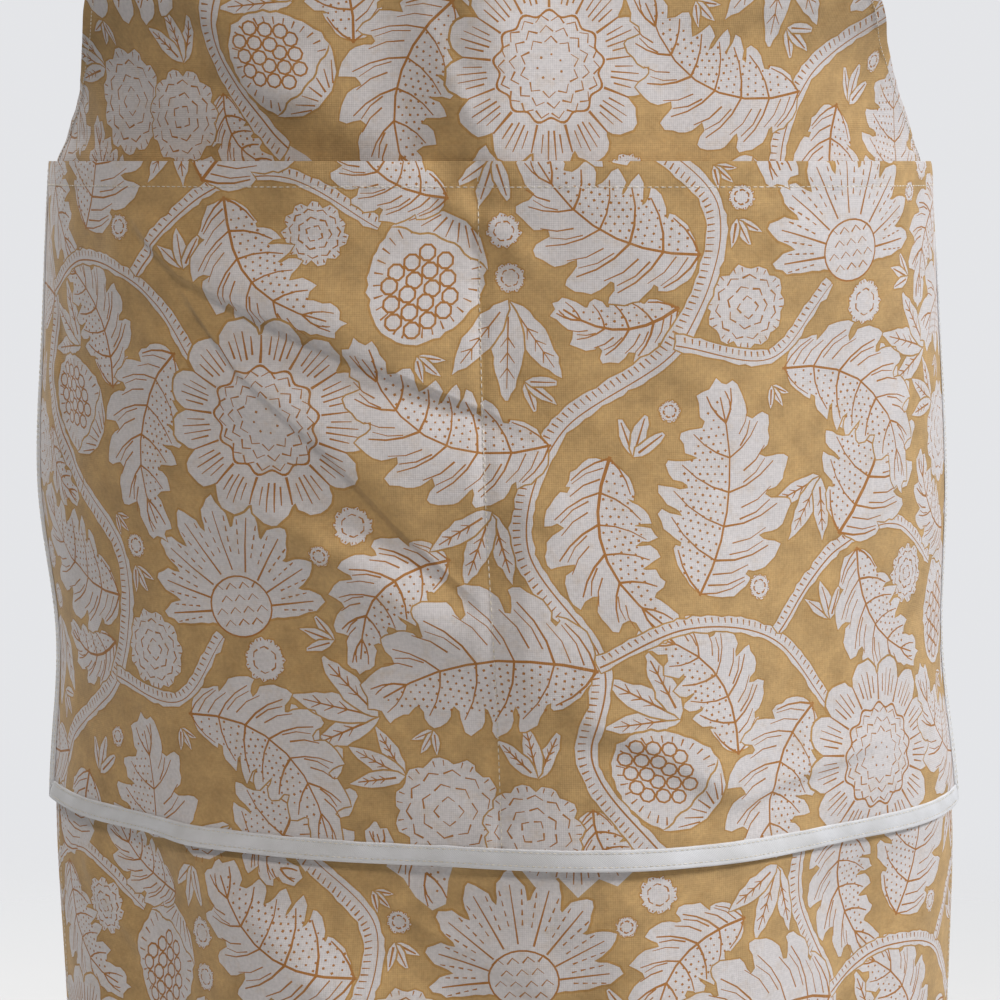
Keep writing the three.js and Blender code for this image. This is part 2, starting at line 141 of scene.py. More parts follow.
def section(column, level):
    """One column of the sections, read along a smooth curve through its rows."""
    levels = SECTIONS[:, 0]
    values = SECTIONS[:, column]
    last = len(levels) - 1
    before = np.maximum(np.arange(last + 1) - 1, 0)
    after = np.minimum(np.arange(last + 1) + 1, last)
    slopes = (values[after] - values[before]) / (levels[after] - levels[before])
    at = np.clip(level, levels[0], levels[-1])
    i = np.clip(np.searchsorted(levels, at, side="right") - 1, 0, last - 1)
    run = levels[i + 1] - levels[i]
    t = (at - levels[i]) / run
    bends = run * t * (1.0 - t) * ((1.0 - t) * slopes[i] - t * slopes[i + 1])
    return values[i] + (values[i + 1] - values[i]) * t * t * (3.0 - 2.0 * t) + bends


def level_at(z):
    """The level of a height on the cloth."""
    bib = (z - WAIST_Z) / BIB_HEIGHT
    pocket = (z - WAIST_Z) / POCKET_HEIGHT
    skirt = (z - POCKET_BOTTOM_Z) / SKIRT_DROP - 1.0
    return np.where(z > WAIST_Z, bib, np.where(z > POCKET_BOTTOM_Z, pocket, skirt))


def z_at(level):
    """The height of a level."""
    return np.interp(level, [-2, -1, 0, 1], [HEM_Z, POCKET_BOTTOM_Z, WAIST_Z, BIB_TOP_Z])


def plan_place(across, level):
    """The cloth's line seen from above, walked from the middle, and the way out from it."""
    side = np.where(across < 0.0, -1.0, 1.0)
    share = np.abs(across)
    turn = np.radians(np.where(across < 0.0, section(1, level), section(2, level)))
    power = np.where(across < 0.0, EVENNESS[0], EVENNESS[1])
    x = np.zeros_like(share)
    y = np.zeros_like(share)
    for i in range(TURN_STEPS):
        angle = turn * np.minimum(1.0, (i + 0.5) * share / TURN_STEPS) ** power
        x += np.cos(angle)
        y += np.sin(angle)
    stride = share * FLAT_HALF_WIDTH / TURN_STEPS
    end = turn * np.minimum(1.0, share) ** power
    chest = CHEST_SETBACK * smooth(level, 0.0, 1.0)
    plan_x = section(3, level) * FLAT_HALF_WIDTH + side * x * stride
    return plan_x, y * stride + chest - FRONT_REACH, side * np.sin(end), -np.cos(end)


def fold_push(across, z):
    """How far the soft folds push the cloth out."""
    push = np.zeros_like(across)
    for ax, al, bx, bl, spread, rise in FOLDS:
        start = complex(ax * FLAT_HALF_WIDTH, z_at(al))
        end = complex(bx * FLAT_HALF_WIDTH, z_at(bl) + min(0.0, bl + 2.0) * SKIRT_DROP)
        along = end - start
        here = across * FLAT_HALF_WIDTH + 1j * z - start
        t = np.clip((here * along.conjugate()).real / abs(along) ** 2, 0.0, 1.0)
        away = np.abs(here - t * along) / (spread * FOLD_WIDTH)
        push += rise * FOLD_HEIGHT * np.exp(-away * away)
    return push


def crease_push(s, z):
    """How far the creases push it out: each is a ridge, steep on one side, that dies out at its ends."""
    push = np.zeros_like(s)
    for above, below, rise, places in CREASES:
        line = np.array([complex(*place) for place in places])
        room = 2.6 * above + 2.0 * below
        near = (s > line.real.min() - room) & (s < line.real.max() + room)
        near &= (z > line.imag.min() - room) & (z < line.imag.max() + room)
        here = s[near] + 1j * z[near]
        lengths = np.abs(np.diff(line))
        run = np.concatenate([[0.0], np.cumsum(lengths)])
        nearest = np.full(here.shape, 1e9)
        share = np.zeros(here.shape)
        upper = np.zeros(here.shape, bool)
        for k in range(len(lengths)):
            along = (line[k + 1] - line[k]) / lengths[k]
            offset = (here - line[k]) * np.conj(along)
            t = np.clip(offset.real, 0.0, lengths[k])
            away = np.abs(offset - t)
            closer = away < nearest
            nearest = np.where(closer, away, nearest)
            share = np.where(closer, (run[k] + t) / run[-1], share)
            upper = np.where(closer, offset.imag > 0.0, upper)
        fade = smooth(share, -0.02, 0.12) * (1.0 - smooth(share, 0.8, 1.02))
        ridge = np.exp(-(nearest / np.where(upper, above, below)) ** 2)
        valley = np.where(upper, 0.0, 0.4 * (np.exp(-(nearest / (2.6 * below)) ** 2) - ridge))
        push[near] += rise * fade * (ridge - valley)
    return push


def crease_lines(wanted):
    """Lines of the mesh beside each crease, where they are wanted on the flat cloth."""
    found = []
    for above, below, _, places in CREASES:
        line = np.array([complex(*place) for place in places])
        run = np.concatenate([[0.0], np.cumsum(np.abs(np.diff(line)))])
        want = np.linspace(0.0, run[-1], int(run[-1] / 6.0) + 2)
        path = np.interp(want, run, line.real) + 1j * np.interp(want, run, line.imag)
        across = np.gradient(path) * 1j
        across /= np.abs(across)
        for by in (0.3 * above, 0.0, -0.5 * below, -below, -1.9 * below):
            beside = path + by * across
            inside = wanted(beside)
            cuts = np.flatnonzero(np.diff(inside.astype(int))) + 1
            for part, kept in zip(np.split(beside, cuts), np.split(inside, cuts)):
                if kept[0] and len(part) > 2:
                    found.append(part)
    return found


def crumple(x, y, size, seed):
    """Smooth seeded unevenness from about -1 to 1, its bumps about the given size apart."""
    grid = np.random.default_rng(seed).uniform(-1.0, 1.0, (64, 64))
    u = x / size
    v = y / size
    i = np.floor(u).astype(int)
    j = np.floor(v).astype(int)
    a = u - i
    b = v - j
    a = a * a * a * (a * (a * 6.0 - 15.0) + 10.0)
    b = b * b * b * (b * (b * 6.0 - 15.0) + 10.0)
    low = grid[i % 64, j % 64] * (1.0 - a) + grid[(i + 1) % 64, j % 64] * a
    high = grid[i % 64, (j + 1) % 64] * (1.0 - a) + grid[(i + 1) % 64, (j + 1) % 64] * a
    return low * (1.0 - b) + high * b


def mouth_share(across, level):
    """How open the pocket is: nothing at its seams and foot, wholly open at its two mouths."""
    mouth = np.sin(np.pi * np.minimum(1.0, np.abs(across))) ** 1.1
    return mouth * np.clip(1.0 + level, 0.0, 1.0) ** 1.3


def worn(s, z, out, share=1.0, crease_share=1.0, seed=5):
    """A point of the worn cloth, from its flat place and its distance out from the middle layer."""
    across = s / FLAT_HALF_WIDTH
    level = level_at(z)
    plan_x, plan_y, out_x, out_y = plan_place(across, level)
    folds = fold_push(across, z)
    creases = crease_push(s, z)
    wrinkles = 0.8 * crumple(s + 0.35 * z, z * 0.45, 31.0, seed) + 0.3 * crumple(s, z, 11.0, seed + 1)
    fade = smooth(1.0 - np.abs(across), 0.0, FOLD_FADE)
    push = out + ((folds + wrinkles) * share + creases * crease_share) * fade
    dip = HEM_DIP * across ** 2 * smooth(-level, 1.0, 2.0)
    return np.column_stack([plan_x + out_x * push, plan_y + out_y * push, z + dip]) * MM


def edge_at(z):
    """Half the width of the cut cloth at a height: the armholes sweep in above the pocket."""
    top = BIB_TOP_HALF_WIDTH / FLAT_HALF_WIDTH
    level = np.clip(level_at(z), 0.0, 1.0)
    return FLAT_HALF_WIDTH * (top + (1.0 - top) * (1.0 - level) ** ARMHOLE_CURVE)


# The print: carved blocks lay a mustard dye round flowers, leaves and thick stems, which keep the cloth's
# off-white, and a second block adds fine brown veins and dots. Each motif is a list of outlines in
# millimetres with its ink, in the order laid down.
DYE, RIM, BARE, LINE = 0, 1, 2, 3
HAND = random.Random(4)


def cut_corners(points):
    """A closed outline with its corners cut, as a carved block has them."""
    loop = np.asarray(points, complex)
    ahead = np.roll(loop, -1)
    return np.column_stack([0.75 * loop + 0.25 * ahead, 0.25 * loop + 0.75 * ahead]).ravel()


def grown(loop, by):
    """The outline moved outwards."""
    along = np.roll(loop, -1) - np.roll(loop, 1)
    along /= np.maximum(np.abs(along), 1e-9)
    area = np.sum(loop.real * np.roll(loop, -1).imag - np.roll(loop, -1).real * loop.imag)
    return loop + by * along * (-1j if area > 0 else 1j)


def ribbon(path, widths):
    """A strip of changing width along an open path."""
    path = np.asarray(path, complex)
    along = np.gradient(path)
    along /= np.maximum(np.abs(along), 1e-9)
    half = 0.5 * np.broadcast_to(widths, path.shape)
    return np.concatenate([path + 1j * along * half, (path - 1j * along * half)[::-1]])


def bowed(start, end, bow, count):
    """A path from one point to another that bows to one side by a share of its length."""
    t = np.linspace(0.0, 1.0, count)
    return start + (end - start) * (t + 4j * bow * t * (1.0 - t))


def hand_cut(loop, step=3.5):
    """The outline as carved by hand and bled a little by the dye: uneven every few millimetres."""
    loop = np.append(np.asarray(loop, complex), loop[0])
    run = np.concatenate([[0.0], np.cumsum(np.abs(np.diff(loop)))])
    count = max(len(loop) // 2, int(run[-1] / step), 8)
    want = np.linspace(0.0, run[-1], count, endpoint=False)
    even = np.interp(want, run, loop.real) + 1j * np.interp(want, run, loop.imag)
    rough = min(0.38, run[-1] / 160.0)
    return even + np.array([HAND.gauss(0.0, rough) + 1j * HAND.gauss(0.0, rough) for _ in want])


def bare(motif, loop, rim=0.8):
    """A part that stays bare, with the darker rim where the dye gathered."""
    loop = hand_cut(loop)
    motif.append((grown(loop, rim), RIM))
    motif.append((loop, BARE))


def vein(motif, path, width=0.9):
    """A printed line, thinner towards its end."""
    width *= HAND.uniform(0.8, 1.3)
    motif.append((ribbon(path, np.linspace(1.0, 0.55, len(path)) * width), LINE))


def dot(motif, at, size=0.72):
    """A printed dot."""
    size *= HAND.uniform(0.8, 1.2)
    corners = np.exp(1j * (HAND.uniform(0.0, 1.5) + np.arange(4) * math.pi / 2.0))
    motif.append((at + size * corners, LINE))


def rosette(radius, petals=13):
    """A round flower of blunt petals about a ringed heart."""
    motif = []
    count = petals * 8
    angle = np.arange(count) / count * 2 * math.pi
    beat = np.abs(np.sin(angle * petals / 2))
    bare(motif, radius * (0.80 + 0.20 * beat ** 0.55) * np.exp(1j * angle), 1.2)
    for k in range(petals):
        notch = cmath.exp(2j * math.pi * k / petals) * radius
        vein(motif, [0.56 * notch, 0.70 * notch, 0.83 * notch], 1.2)
        for turn in (-0.26, -0.09, 0.09, 0.26):
            start, end = (0.64, 0.82) if abs(turn) > 0.2 else (0.60, 0.88)
            way = radius * cmath.exp(2j * math.pi * (k + 0.5 + turn) / petals)
            vein(motif, [start * way, end * way], 0.8)
    ring = radius * (0.52 + 0.03 * np.cos(angle * petals)) * np.exp(1j * angle)
    motif.append((ring, LINE))
    motif.append((ring * 0.955, BARE))
    for row, (share, number) in enumerate(((0.43, 18), (0.33, 14), (0.23, 10))):
        for k in range(number):
            way = radius * cmath.exp(2j * math.pi * (k + 0.5 * row) / number)
            side = way * 1j * share * math.pi / number * 0.85
            vein(motif, [share * way - side, (share + 0.06) * way, share * way + side], 0.85)
    for k in range(7):
        dot(motif, 0.12 * radius * cmath.exp(2j * math.pi * k / 7))
    return motif


def fan_flower(radius, petals=9, spread=3.5):
    """A flower seen from the side: notched petals fan out from a scaly cup."""
    motif = []
    edge = []
    for k in range(petals):
        for i in range(7):
            share = (k + i / 7) / petals
            long = 1 - 0.22 * abs(2 * share - 1) ** 1.5
            reach = radius * long * (0.66 + 0.34 * math.sin(math.pi * i / 7) ** 0.6)
            reach *= 0.94 if i in (2, 5) else 1.0
            edge.append(reach * cmath.exp(1j * (math.pi / 2 + spread * (0.5 - share))))
    edge.append(complex(0.08, -0.12) * radius)
    edge.append(complex(-0.08, -0.12) * radius)
    bare(motif, cut_corners(edge), 1.2)
    for k in range(petals):
        share = (k + 0.5) / petals
        way = radius * cmath.exp(1j * (math.pi / 2 + spread * (0.5 - share)))
        way *= 1 - 0.22 * abs(2 * share - 1) ** 1.5
        vein(motif, [0.34 * way, 0.6 * way, 0.86 * way], 1.0)
        for side in (-1, 1):
            off = way * cmath.exp(1j * side * 0.30 * spread / petals)
            for at in (0.50, 0.59, 0.68, 0.77):
                vein(motif, [at * off, (at + 0.05) * off], 0.8)
    turn = np.linspace(0, 2 * math.pi, 28, endpoint=False)
    cup = radius * (0.285 * np.cos(turn) + 1j * (0.255 * np.sin(turn) + 0.02))
    motif.append((grown(cup, 0.9), LINE))
    motif.append((cup, BARE))
    for row in range(4):
        number = 3 + row % 2
        for k in range(number):
            centre = radius * complex((k - (number - 1) / 2) * 0.13, -0.14 + row * 0.105)
            vein(motif, [centre - 0.05 * radius, centre + 0.05j * radius, centre + 0.05 * radius], 0.8)
    return motif


def lobed_leaf(length, width, lobes=6, bow=0.12):
    """A saw-edged leaf, one half hatched along its veins and the other dotted."""
    motif = []

    def at(t, w):
        along = complex(4 * bow * (1 - 2 * t), 1.0)
        return length * complex(4 * bow * t * (1 - t), t) - 1j * w * width * along / abs(along)

    def half(t):
        return 0.5 * math.sin(math.pi * min(1.0, t) ** 0.75) ** 0.8 + 0.03

    step = 1 / lobes
    sides = []
    for side in (1, -1):
        edge = []
        for i in range(lobes):
            t = i * step
            edge.append(at(t + 0.02, side * half(t + 0.02) * 0.62))
            edge.append(at(t + 0.30 * step, side * half(t + 0.3 * step) * 1.02))
            edge.append(at(t + 0.72 * step, side * half(t + 0.5 * step) * 1.14))
            edge.append(at(t + 1.10 * step, side * half(t + 0.55 * step) * 1.20))
            edge.append(at(t + 0.98 * step, side * half(t + 0.9 * step) * 0.84))
        sides.append(edge)
    bare(motif, cut_corners(sides[0] + [at(1.06, 0)] + sides[1][::-1]))
    vein(motif, [at(t, 0) for t in np.linspace(0.0, 0.96, 8)], 1.3)
    for side in (1, -1):
        for i in range(lobes):
            t = (i + 0.05) * step
            tip_t = min(1.0, t + 0.85 * step)
            tip = at(tip_t, side * half(tip_t - 0.2 * step) * 0.92)
            vein(motif, bowed(at(t, 0), tip, -0.08 * side, 4), 1.0)
            for f in (0.30, 0.62) if side > 0 else ():
                foot = at(t + f * step, side * half(t) * 0.25)
                end = at(min(0.98, t + (f + 0.62) * step), side * half(tip_t) * 0.78)
                vein(motif, bowed(foot, end, -0.08 * side, 3), 0.75)
    pitch = 3.7
    rows = int(length / pitch)
    for r in range(rows):
        t = (r + 0.5) / rows
        for k in range(int(half(t) * 0.86 * width / pitch)):
            dot(motif, at(t, -(k + 0.55 + 0.5 * (r % 2)) * pitch / width))
    return motif


def scaly_pod(length, width):
    """A seed pod of round scales in a crimped rim, held in a small cup."""
    motif = []
    angle = np.arange(64) / 64 * 2 * math.pi - math.pi / 2
    belly = width / 2 * np.cos(angle) * (1 - 0.16 * np.sin(angle))
    bare(motif, (1 + 0.035 * np.cos(angle * 24)) * (belly + 1j * length / 2 * np.sin(angle)), 1.1)
    for k in range(26):
        a = math.pi * (0.5 + 1.66 * (k / 25 - 0.5))
        edge = complex(width / 2 * math.cos(a) * (1 - 0.16 * math.sin(a)), length / 2 * math.sin(a))
        vein(motif, [edge * 0.92, edge * 0.76], 0.8)
    turn = np.arange(8) / 8 * 2 * math.pi
    for r, number in enumerate((2, 3, 4, 4, 3, 2)):
        for k in range(number):
            centre = complex((k - (number - 1) / 2) * width * 0.175, length * (r * 0.115 - 0.20))
            scale = width * 0.083 * (np.cos(turn) + 1.1j * np.sin(turn))
            motif.append((centre + scale, LINE))
            motif.append((centre + 0.74 * scale, BARE))
    cup = []
    for k in range(9):
        share = k / 8 - 0.5
        rise = abs(share) * 0.18 - (0.34 if k % 2 == 0 else 0.38)
        cup.append(complex(share * width * 1.02, rise * length))
    cup = cut_corners(cup + [complex(width * 0.22, -length * 0.53), complex(-width * 0.22, -length * 0.53)])
    motif.append((grown(cup, 1.0), RIM))
    motif.append((cup, BARE))
    for k in range(7):
        x = (k - 3) / 3 * width * 0.36
        vein(motif, [complex(x * 0.5, -length * 0.50), complex(x, -length * 0.36)], 0.8)
    return motif


def berry_head(radius, bumps=11):
    """A round head of small scalloped florets."""
    motif = []
    angle = np.arange(bumps * 6) / (bumps * 6) * 2 * math.pi
    bare(motif, radius * (0.86 + 0.14 * np.abs(np.sin(angle * bumps / 2)) ** 0.7) * np.exp(1j * angle))
    rings = ((0.68, 11), (0.42, 7), (0.18, 4)) if radius > 12 else ((0.5, 6),)
    for row, (share, number) in enumerate(rings):
        for k in range(number):
            way = radius * cmath.exp(2j * math.pi * (k + 0.5 * row) / number)
            side = way * 1j * share * math.pi / number * 0.8
            vein(motif, [share * way - side, (share + 0.09) * way, share * way + side], 0.85)
    for k in range(bumps):
        way = radius * cmath.exp(2j * math.pi * (k + 0.5) / bumps)
        for turn in (-0.1, 0.1):
            spoke = way * cmath.exp(1j * turn)
            vein(motif, [0.95 * spoke, 0.84 * spoke], 0.7)
    return motif


def sprig(length):
    """Three narrow leaflets from one foot."""
    motif = []
    for k in range(3):
        way = 1j * cmath.exp(-0.62j * (k - 1)) * length * (1 - 0.1 * abs(k - 1))
        t = np.linspace(0, 1, 9)
        swell = np.sin(math.pi * t ** 0.8) ** 0.9 * 0.15
        bare(motif, np.concatenate([way * (t + 1j * swell), (way * (t - 1j * swell))[::-1][1:-1]]), 0.9)
        vein(motif, [0.15 * way, 0.5 * way, 0.85 * way], 0.95)
        for f in (0.35, 0.5, 0.65) if length > 24 else ():
            for side in (-1, 1):
                vein(motif, [f * way, (f + 0.1 + side * 0.07j) * way], 0.7)
    return motif


def stem(path, width):
    """A thick stem with short ticks along one side and a line along the other."""
    motif = []
    bare(motif, ribbon(path, width))
    along = np.gradient(path)
    along /= np.abs(along)
    for i in range(1, len(path) - 1):
        foot = path[i] + 0.42j * along[i] * width
        vein(motif, [foot, foot - 0.36j * along[i] * width + 0.5 * along[i]], 0.8)
    vein(motif, path - 0.22j * along * width, 0.8)
    return motif


def flowing(points, step=3.2):
    """A smooth path through chosen points, sampled evenly."""
    p = np.asarray(points, complex)
    p = np.concatenate([[2 * p[0] - p[1]], p, [2 * p[-1] - p[-2]]])
    t = np.linspace(0, 1, 24, endpoint=False)
    fine = []
    for i in range(1, len(p) - 2):
        turn = 2 * p[i - 1] - 5 * p[i] + 4 * p[i + 1] - p[i + 2]
        swing = 3 * p[i] - p[i - 1] - 3 * p[i + 1] + p[i + 2]
        fine.append(p[i] + 0.5 * ((p[i + 1] - p[i - 1]) * t + turn * t ** 2 + swing * t ** 3))
    fine = np.concatenate(fine + [[p[-2]]])
    run = np.concatenate([[0], np.cumsum(np.abs(np.diff(fine)))])
    want = np.linspace(0, run[-1], max(3, int(run[-1] / step)))
    return np.interp(want, run, fine.real) + 1j * np.interp(want, run, fine.imag)


# The repeat is a half drop. Stems come first, then the large motifs at chosen places, and small ones fill
# what is left, each where a seeded search finds room. Places are shares of the repeat.
REPEAT_W = 300.0
REPEAT_H = 340.0
CELL = 2.0
VINES = [
    ([(0.34, -0.28), (0.40, -0.1), (0.27, 0.02), (0.18, 0.14), (0.20, 0.28), (0.10, 0.44), (0.16, 0.60),
      (0.34, 0.72), (0.40, 0.90), (0.27, 1.02), (0.18, 1.14)], 9.5),
    ([(0.20, 0.28), (0.34, 0.33), (0.50, 0.30), (0.62, 0.18)], 7.0),
    ([(0.34, 0.72), (0.50, 0.70), (0.60, 0.80)], 7.0),
    ([(0.50, 0.31), (0.62, 0.42), (0.76, 0.45), (0.90, 0.38)], 6.5),
]
PLACED = [
    (lobed_leaf(104, 60, 6, 0.12), 0.20, 0.27, -100, 1), (lobed_leaf(98, 56, 6, 0.12), 0.36, 0.37, 8, 1),
    (lobed_leaf(96, 46, 7, 0.24), 0.15, 0.58, -62, -1), (lobed_leaf(92, 54, 6, 0.12), 0.63, 0.44, 18, 1),
    (lobed_leaf(96, 44, 7, 0.24), 0.52, 0.68, 128, -1), (lobed_leaf(88, 50, 6, 0.16), 0.38, 0.84, -58, -1),
    (scaly_pod(62, 50), 0.965, 0.305, 205, 1), (rosette(49), 0.72, 0.11, 20, 1),
    (fan_flower(56), 0.64, 0.84, -8, 1),
]
FILLERS = [
    ("leaf", 90), ("berry", 26), ("leaf", 84), ("pod", 54), ("leaf", 78), ("leaf", 74), ("berry", 23),
    ("leaf", 70), ("leaf", 66), ("leaf", 62), ("berry", 20), ("sprig", 48), ("leaf", 58), ("leaf", 54),
    ("sprig", 44), ("leaf", 50), ("sprig", 40), ("berry", 15), ("leaf", 46), ("sprig", 38), ("sprig", 34),
    ("leaf", 44), ("sprig", 30), ("sprig", 28), ("berry", 11), ("sprig", 24), ("sprig", 22), ("sprig", 20),
    ("berry", 9), ("sprig", 18), ("sprig", 18), ("berry", 8), ("berry", 7), ("sprig", 15), ("sprig", 14),
    ("sprig", 13), ("berry", 6), ("berry", 6), ("sprig", 12), ("sprig", 12), ("berry", 5), ("berry", 5),
]


def filler(kind, size):
    """One of the motifs that fill the gaps."""
    if kind == "leaf":
        return lobed_leaf(size, size * 0.5, 6 if size > 60 else 5, 0.2)
    if kind == "pod":
        return scaly_pod(size, size * 0.82)
    return berry_head(size) if kind == "berry" else sprig(size)


def set_down(motif, at, turn, flip):
    """A motif's outlines at a place, turned and maybe mirrored."""
    way = cmath.exp(-1j * math.radians(turn))
    return [(at + (loop if flip > 0 else -loop.conjugate()) * way, ink) for loop, ink in motif]


def winding(loop, at, block_size=300000):
    """How many times an outline goes round each point, worked out in blocks to spare memory."""
    ahead = np.roll(loop, -1)
    ay, by = loop.imag[:, None], ahead.imag[:, None]
    some = max(1, block_size // len(loop))
    turns = np.zeros(len(at), int)
    for first in range(0, len(at), some):
        here = at[first:first + some]
        lean = ((ahead - loop)[:, None].conjugate() * (here - loop[:, None])).imag
        rising = (ay <= here.imag) & (by > here.imag) & (lean > 0)
        falling = (ay > here.imag) & (by <= here.imag) & (lean < 0)
        turns[first:first + some] = np.sum(rising, axis=0, dtype=int) - np.sum(falling, axis=0, dtype=int)
    return turns


def cells_under(loop):
    """The cells of the repeat that an outline covers, with the half drop where it wraps round."""
    xs = np.arange(math.floor(loop.real.min() / CELL), math.ceil(loop.real.max() / CELL) + 1)
    ys = np.arange(math.floor(loop.imag.min() / CELL), math.ceil(loop.imag.max() / CELL) + 1)
    gx, gy = (g.ravel() for g in np.meshgrid(xs, ys))
    hit = winding(loop, (gx + 0.5 + 1j * (gy + 0.5)) * CELL) != 0
    gx, gy = gx[hit], gy[hit]
    column = gx // taken.shape[0]
    return gx - column * taken.shape[0], (gy - column * (taken.shape[1] // 2)) % taken.shape[1]


taken = np.zeros((int(REPEAT_W / CELL), int(REPEAT_H / CELL)), bool)
block = []
for points, width in VINES:
    path = flowing([complex(x * REPEAT_W, y * REPEAT_H) for x, y in points])
    block += stem(path[(path.imag > -2.0) & (path.imag < REPEAT_H + 2.0)], width)
for motif, x, y, turn, flip in PLACED:
    block += set_down(motif, complex(x * REPEAT_W, y * REPEAT_H), turn, flip)
for loop, ink in block:
    if ink == RIM:
        taken[cells_under(loop)] = True
hunt = random.Random(11)
for kind, size in FILLERS:
    motif = filler(kind, size)
    best = None
    for _ in range(110):
        at = complex(hunt.uniform(0, REPEAT_W), hunt.uniform(0, REPEAT_H))
        turn = hunt.uniform(0, 360)
        flip = hunt.choice((1, -1))
        if taken[int(at.real / CELL) % taken.shape[0], int(at.imag / CELL) % taken.shape[1]]:
            continue
        covered = [cells_under(loop) for loop, ink in set_down(motif, at, turn, flip) if ink == RIM]
        over = sum(taken[cells].sum() for cells in covered) / max(1, sum(len(cells[0]) for cells in covered))
        if over < 0.17 and (best is None or over < best[0]):
            best = (over, at, turn, flip, covered)
        if over == 0:
            break
    if best:
        block = set_down(motif, *best[1:4]) + block
        for cells in best[4]:
            taken[cells] = True


def print_over(low, high, shift):
    """The print's outlines over a rectangle of cloth, from its lowest to its highest corner."""
    laid = []
    for i in range(-4, 5):
        for j in range(-5, 6):
            drop = REPEAT_H / 2 if i % 2 else 0.0
            offset = complex(i * REPEAT_W, j * REPEAT_H + drop) + shift
            for loop, ink in block:
                at = loop + offset
                if at.real.max() < low.real or at.real.min() > high.real:
                    continue
                if at.imag.max() < low.imag or at.imag.min() > high.imag:
                    continue
                laid.append((at, ink))
    return laid


# Cloth faces: the print's outlines, the cut edge and the turned hems' edges are all lines of the mesh, so
# each face has one ink. The right side has the whole print and the wrong side shows it faintly.
GRID_STEP = 6.5
MEET = 0.02


def triangulate(outline, lines, low, high, step):
    """A flat mesh of all the outlines and a grid of points, and where each triangle's middle is."""
    spots = []
    edges = []
    for line, closed in [(outline, True)] + lines:
        first = len(spots)
        spots += [(float(p.real), float(p.imag)) for p in line]
        edges += [(first + i, first + i + 1) for i in range(len(line) - 1)]
        if closed:
            edges.append((first + len(line) - 1, first))
    row_step = step * math.sqrt(0.75)
    for j in range(int((high.imag - low.imag) / row_step - 0.6)):
        for i in range(int((high.real - low.real) / step - 0.8)):
            spots.append((low.real + (i + 0.5 + 0.5 * (j % 2)) * step, low.imag + (j + 0.6) * row_step))
    result = delaunay_2d_cdt([Vector(p) for p in spots], edges, [], 0, MEET)
    points = np.array([(p.x, p.y) for p in result[0]]) @ np.array([1.0, 1.0j])
    triangles = np.array([face for face in result[2] if len(face) == 3])
    middles = points[triangles].mean(axis=1)
    return points, triangles, middles


def inks_at(middles, laid):
    """The ink at each place: the last outline laid that goes round it."""
    order = np.argsort(middles.real)
    across = middles.real[order]
    inks = np.full(len(middles), float(DYE))
    for loop, ink in laid:
        near = order[np.searchsorted(across, loop.real.min()):np.searchsorted(across, loop.real.max())]
        there = middles.imag[near]
        near = near[(there > loop.imag.min()) & (there < loop.imag.max())]
        if len(near):
            inks[near[winding(loop, middles[near]) != 0]] = ink
    return inks


def rim_loop(triangles):
    """The corners round a flat mesh's edge, in order."""
    sides = np.concatenate([triangles[:, [0, 1]], triangles[:, [1, 2]], triangles[:, [2, 0]]])
    known = {(int(a), int(b)) for a, b in sides}
    ahead = {a: b for a, b in known if (b, a) not in known}
    loop = [next(iter(ahead))]
    while ahead[loop[-1]] != loop[0]:
        loop.append(ahead[loop[-1]])
    return loop


def facing(place, points, side):
    """Positions on one side of a cloth and the directions that they face."""
    nudge = 0.35
    at = place(points.real, points.imag, side)
    along = place(points.real + nudge, points.imag, side) - place(points.real - nudge, points.imag, side)
    upwards = place(points.real, points.imag + nudge, side) - place(points.real, points.imag - nudge, side)
    normal = side * np.cross(along, upwards)
    return at, normal / np.linalg.norm(normal, axis=1)[:, None]


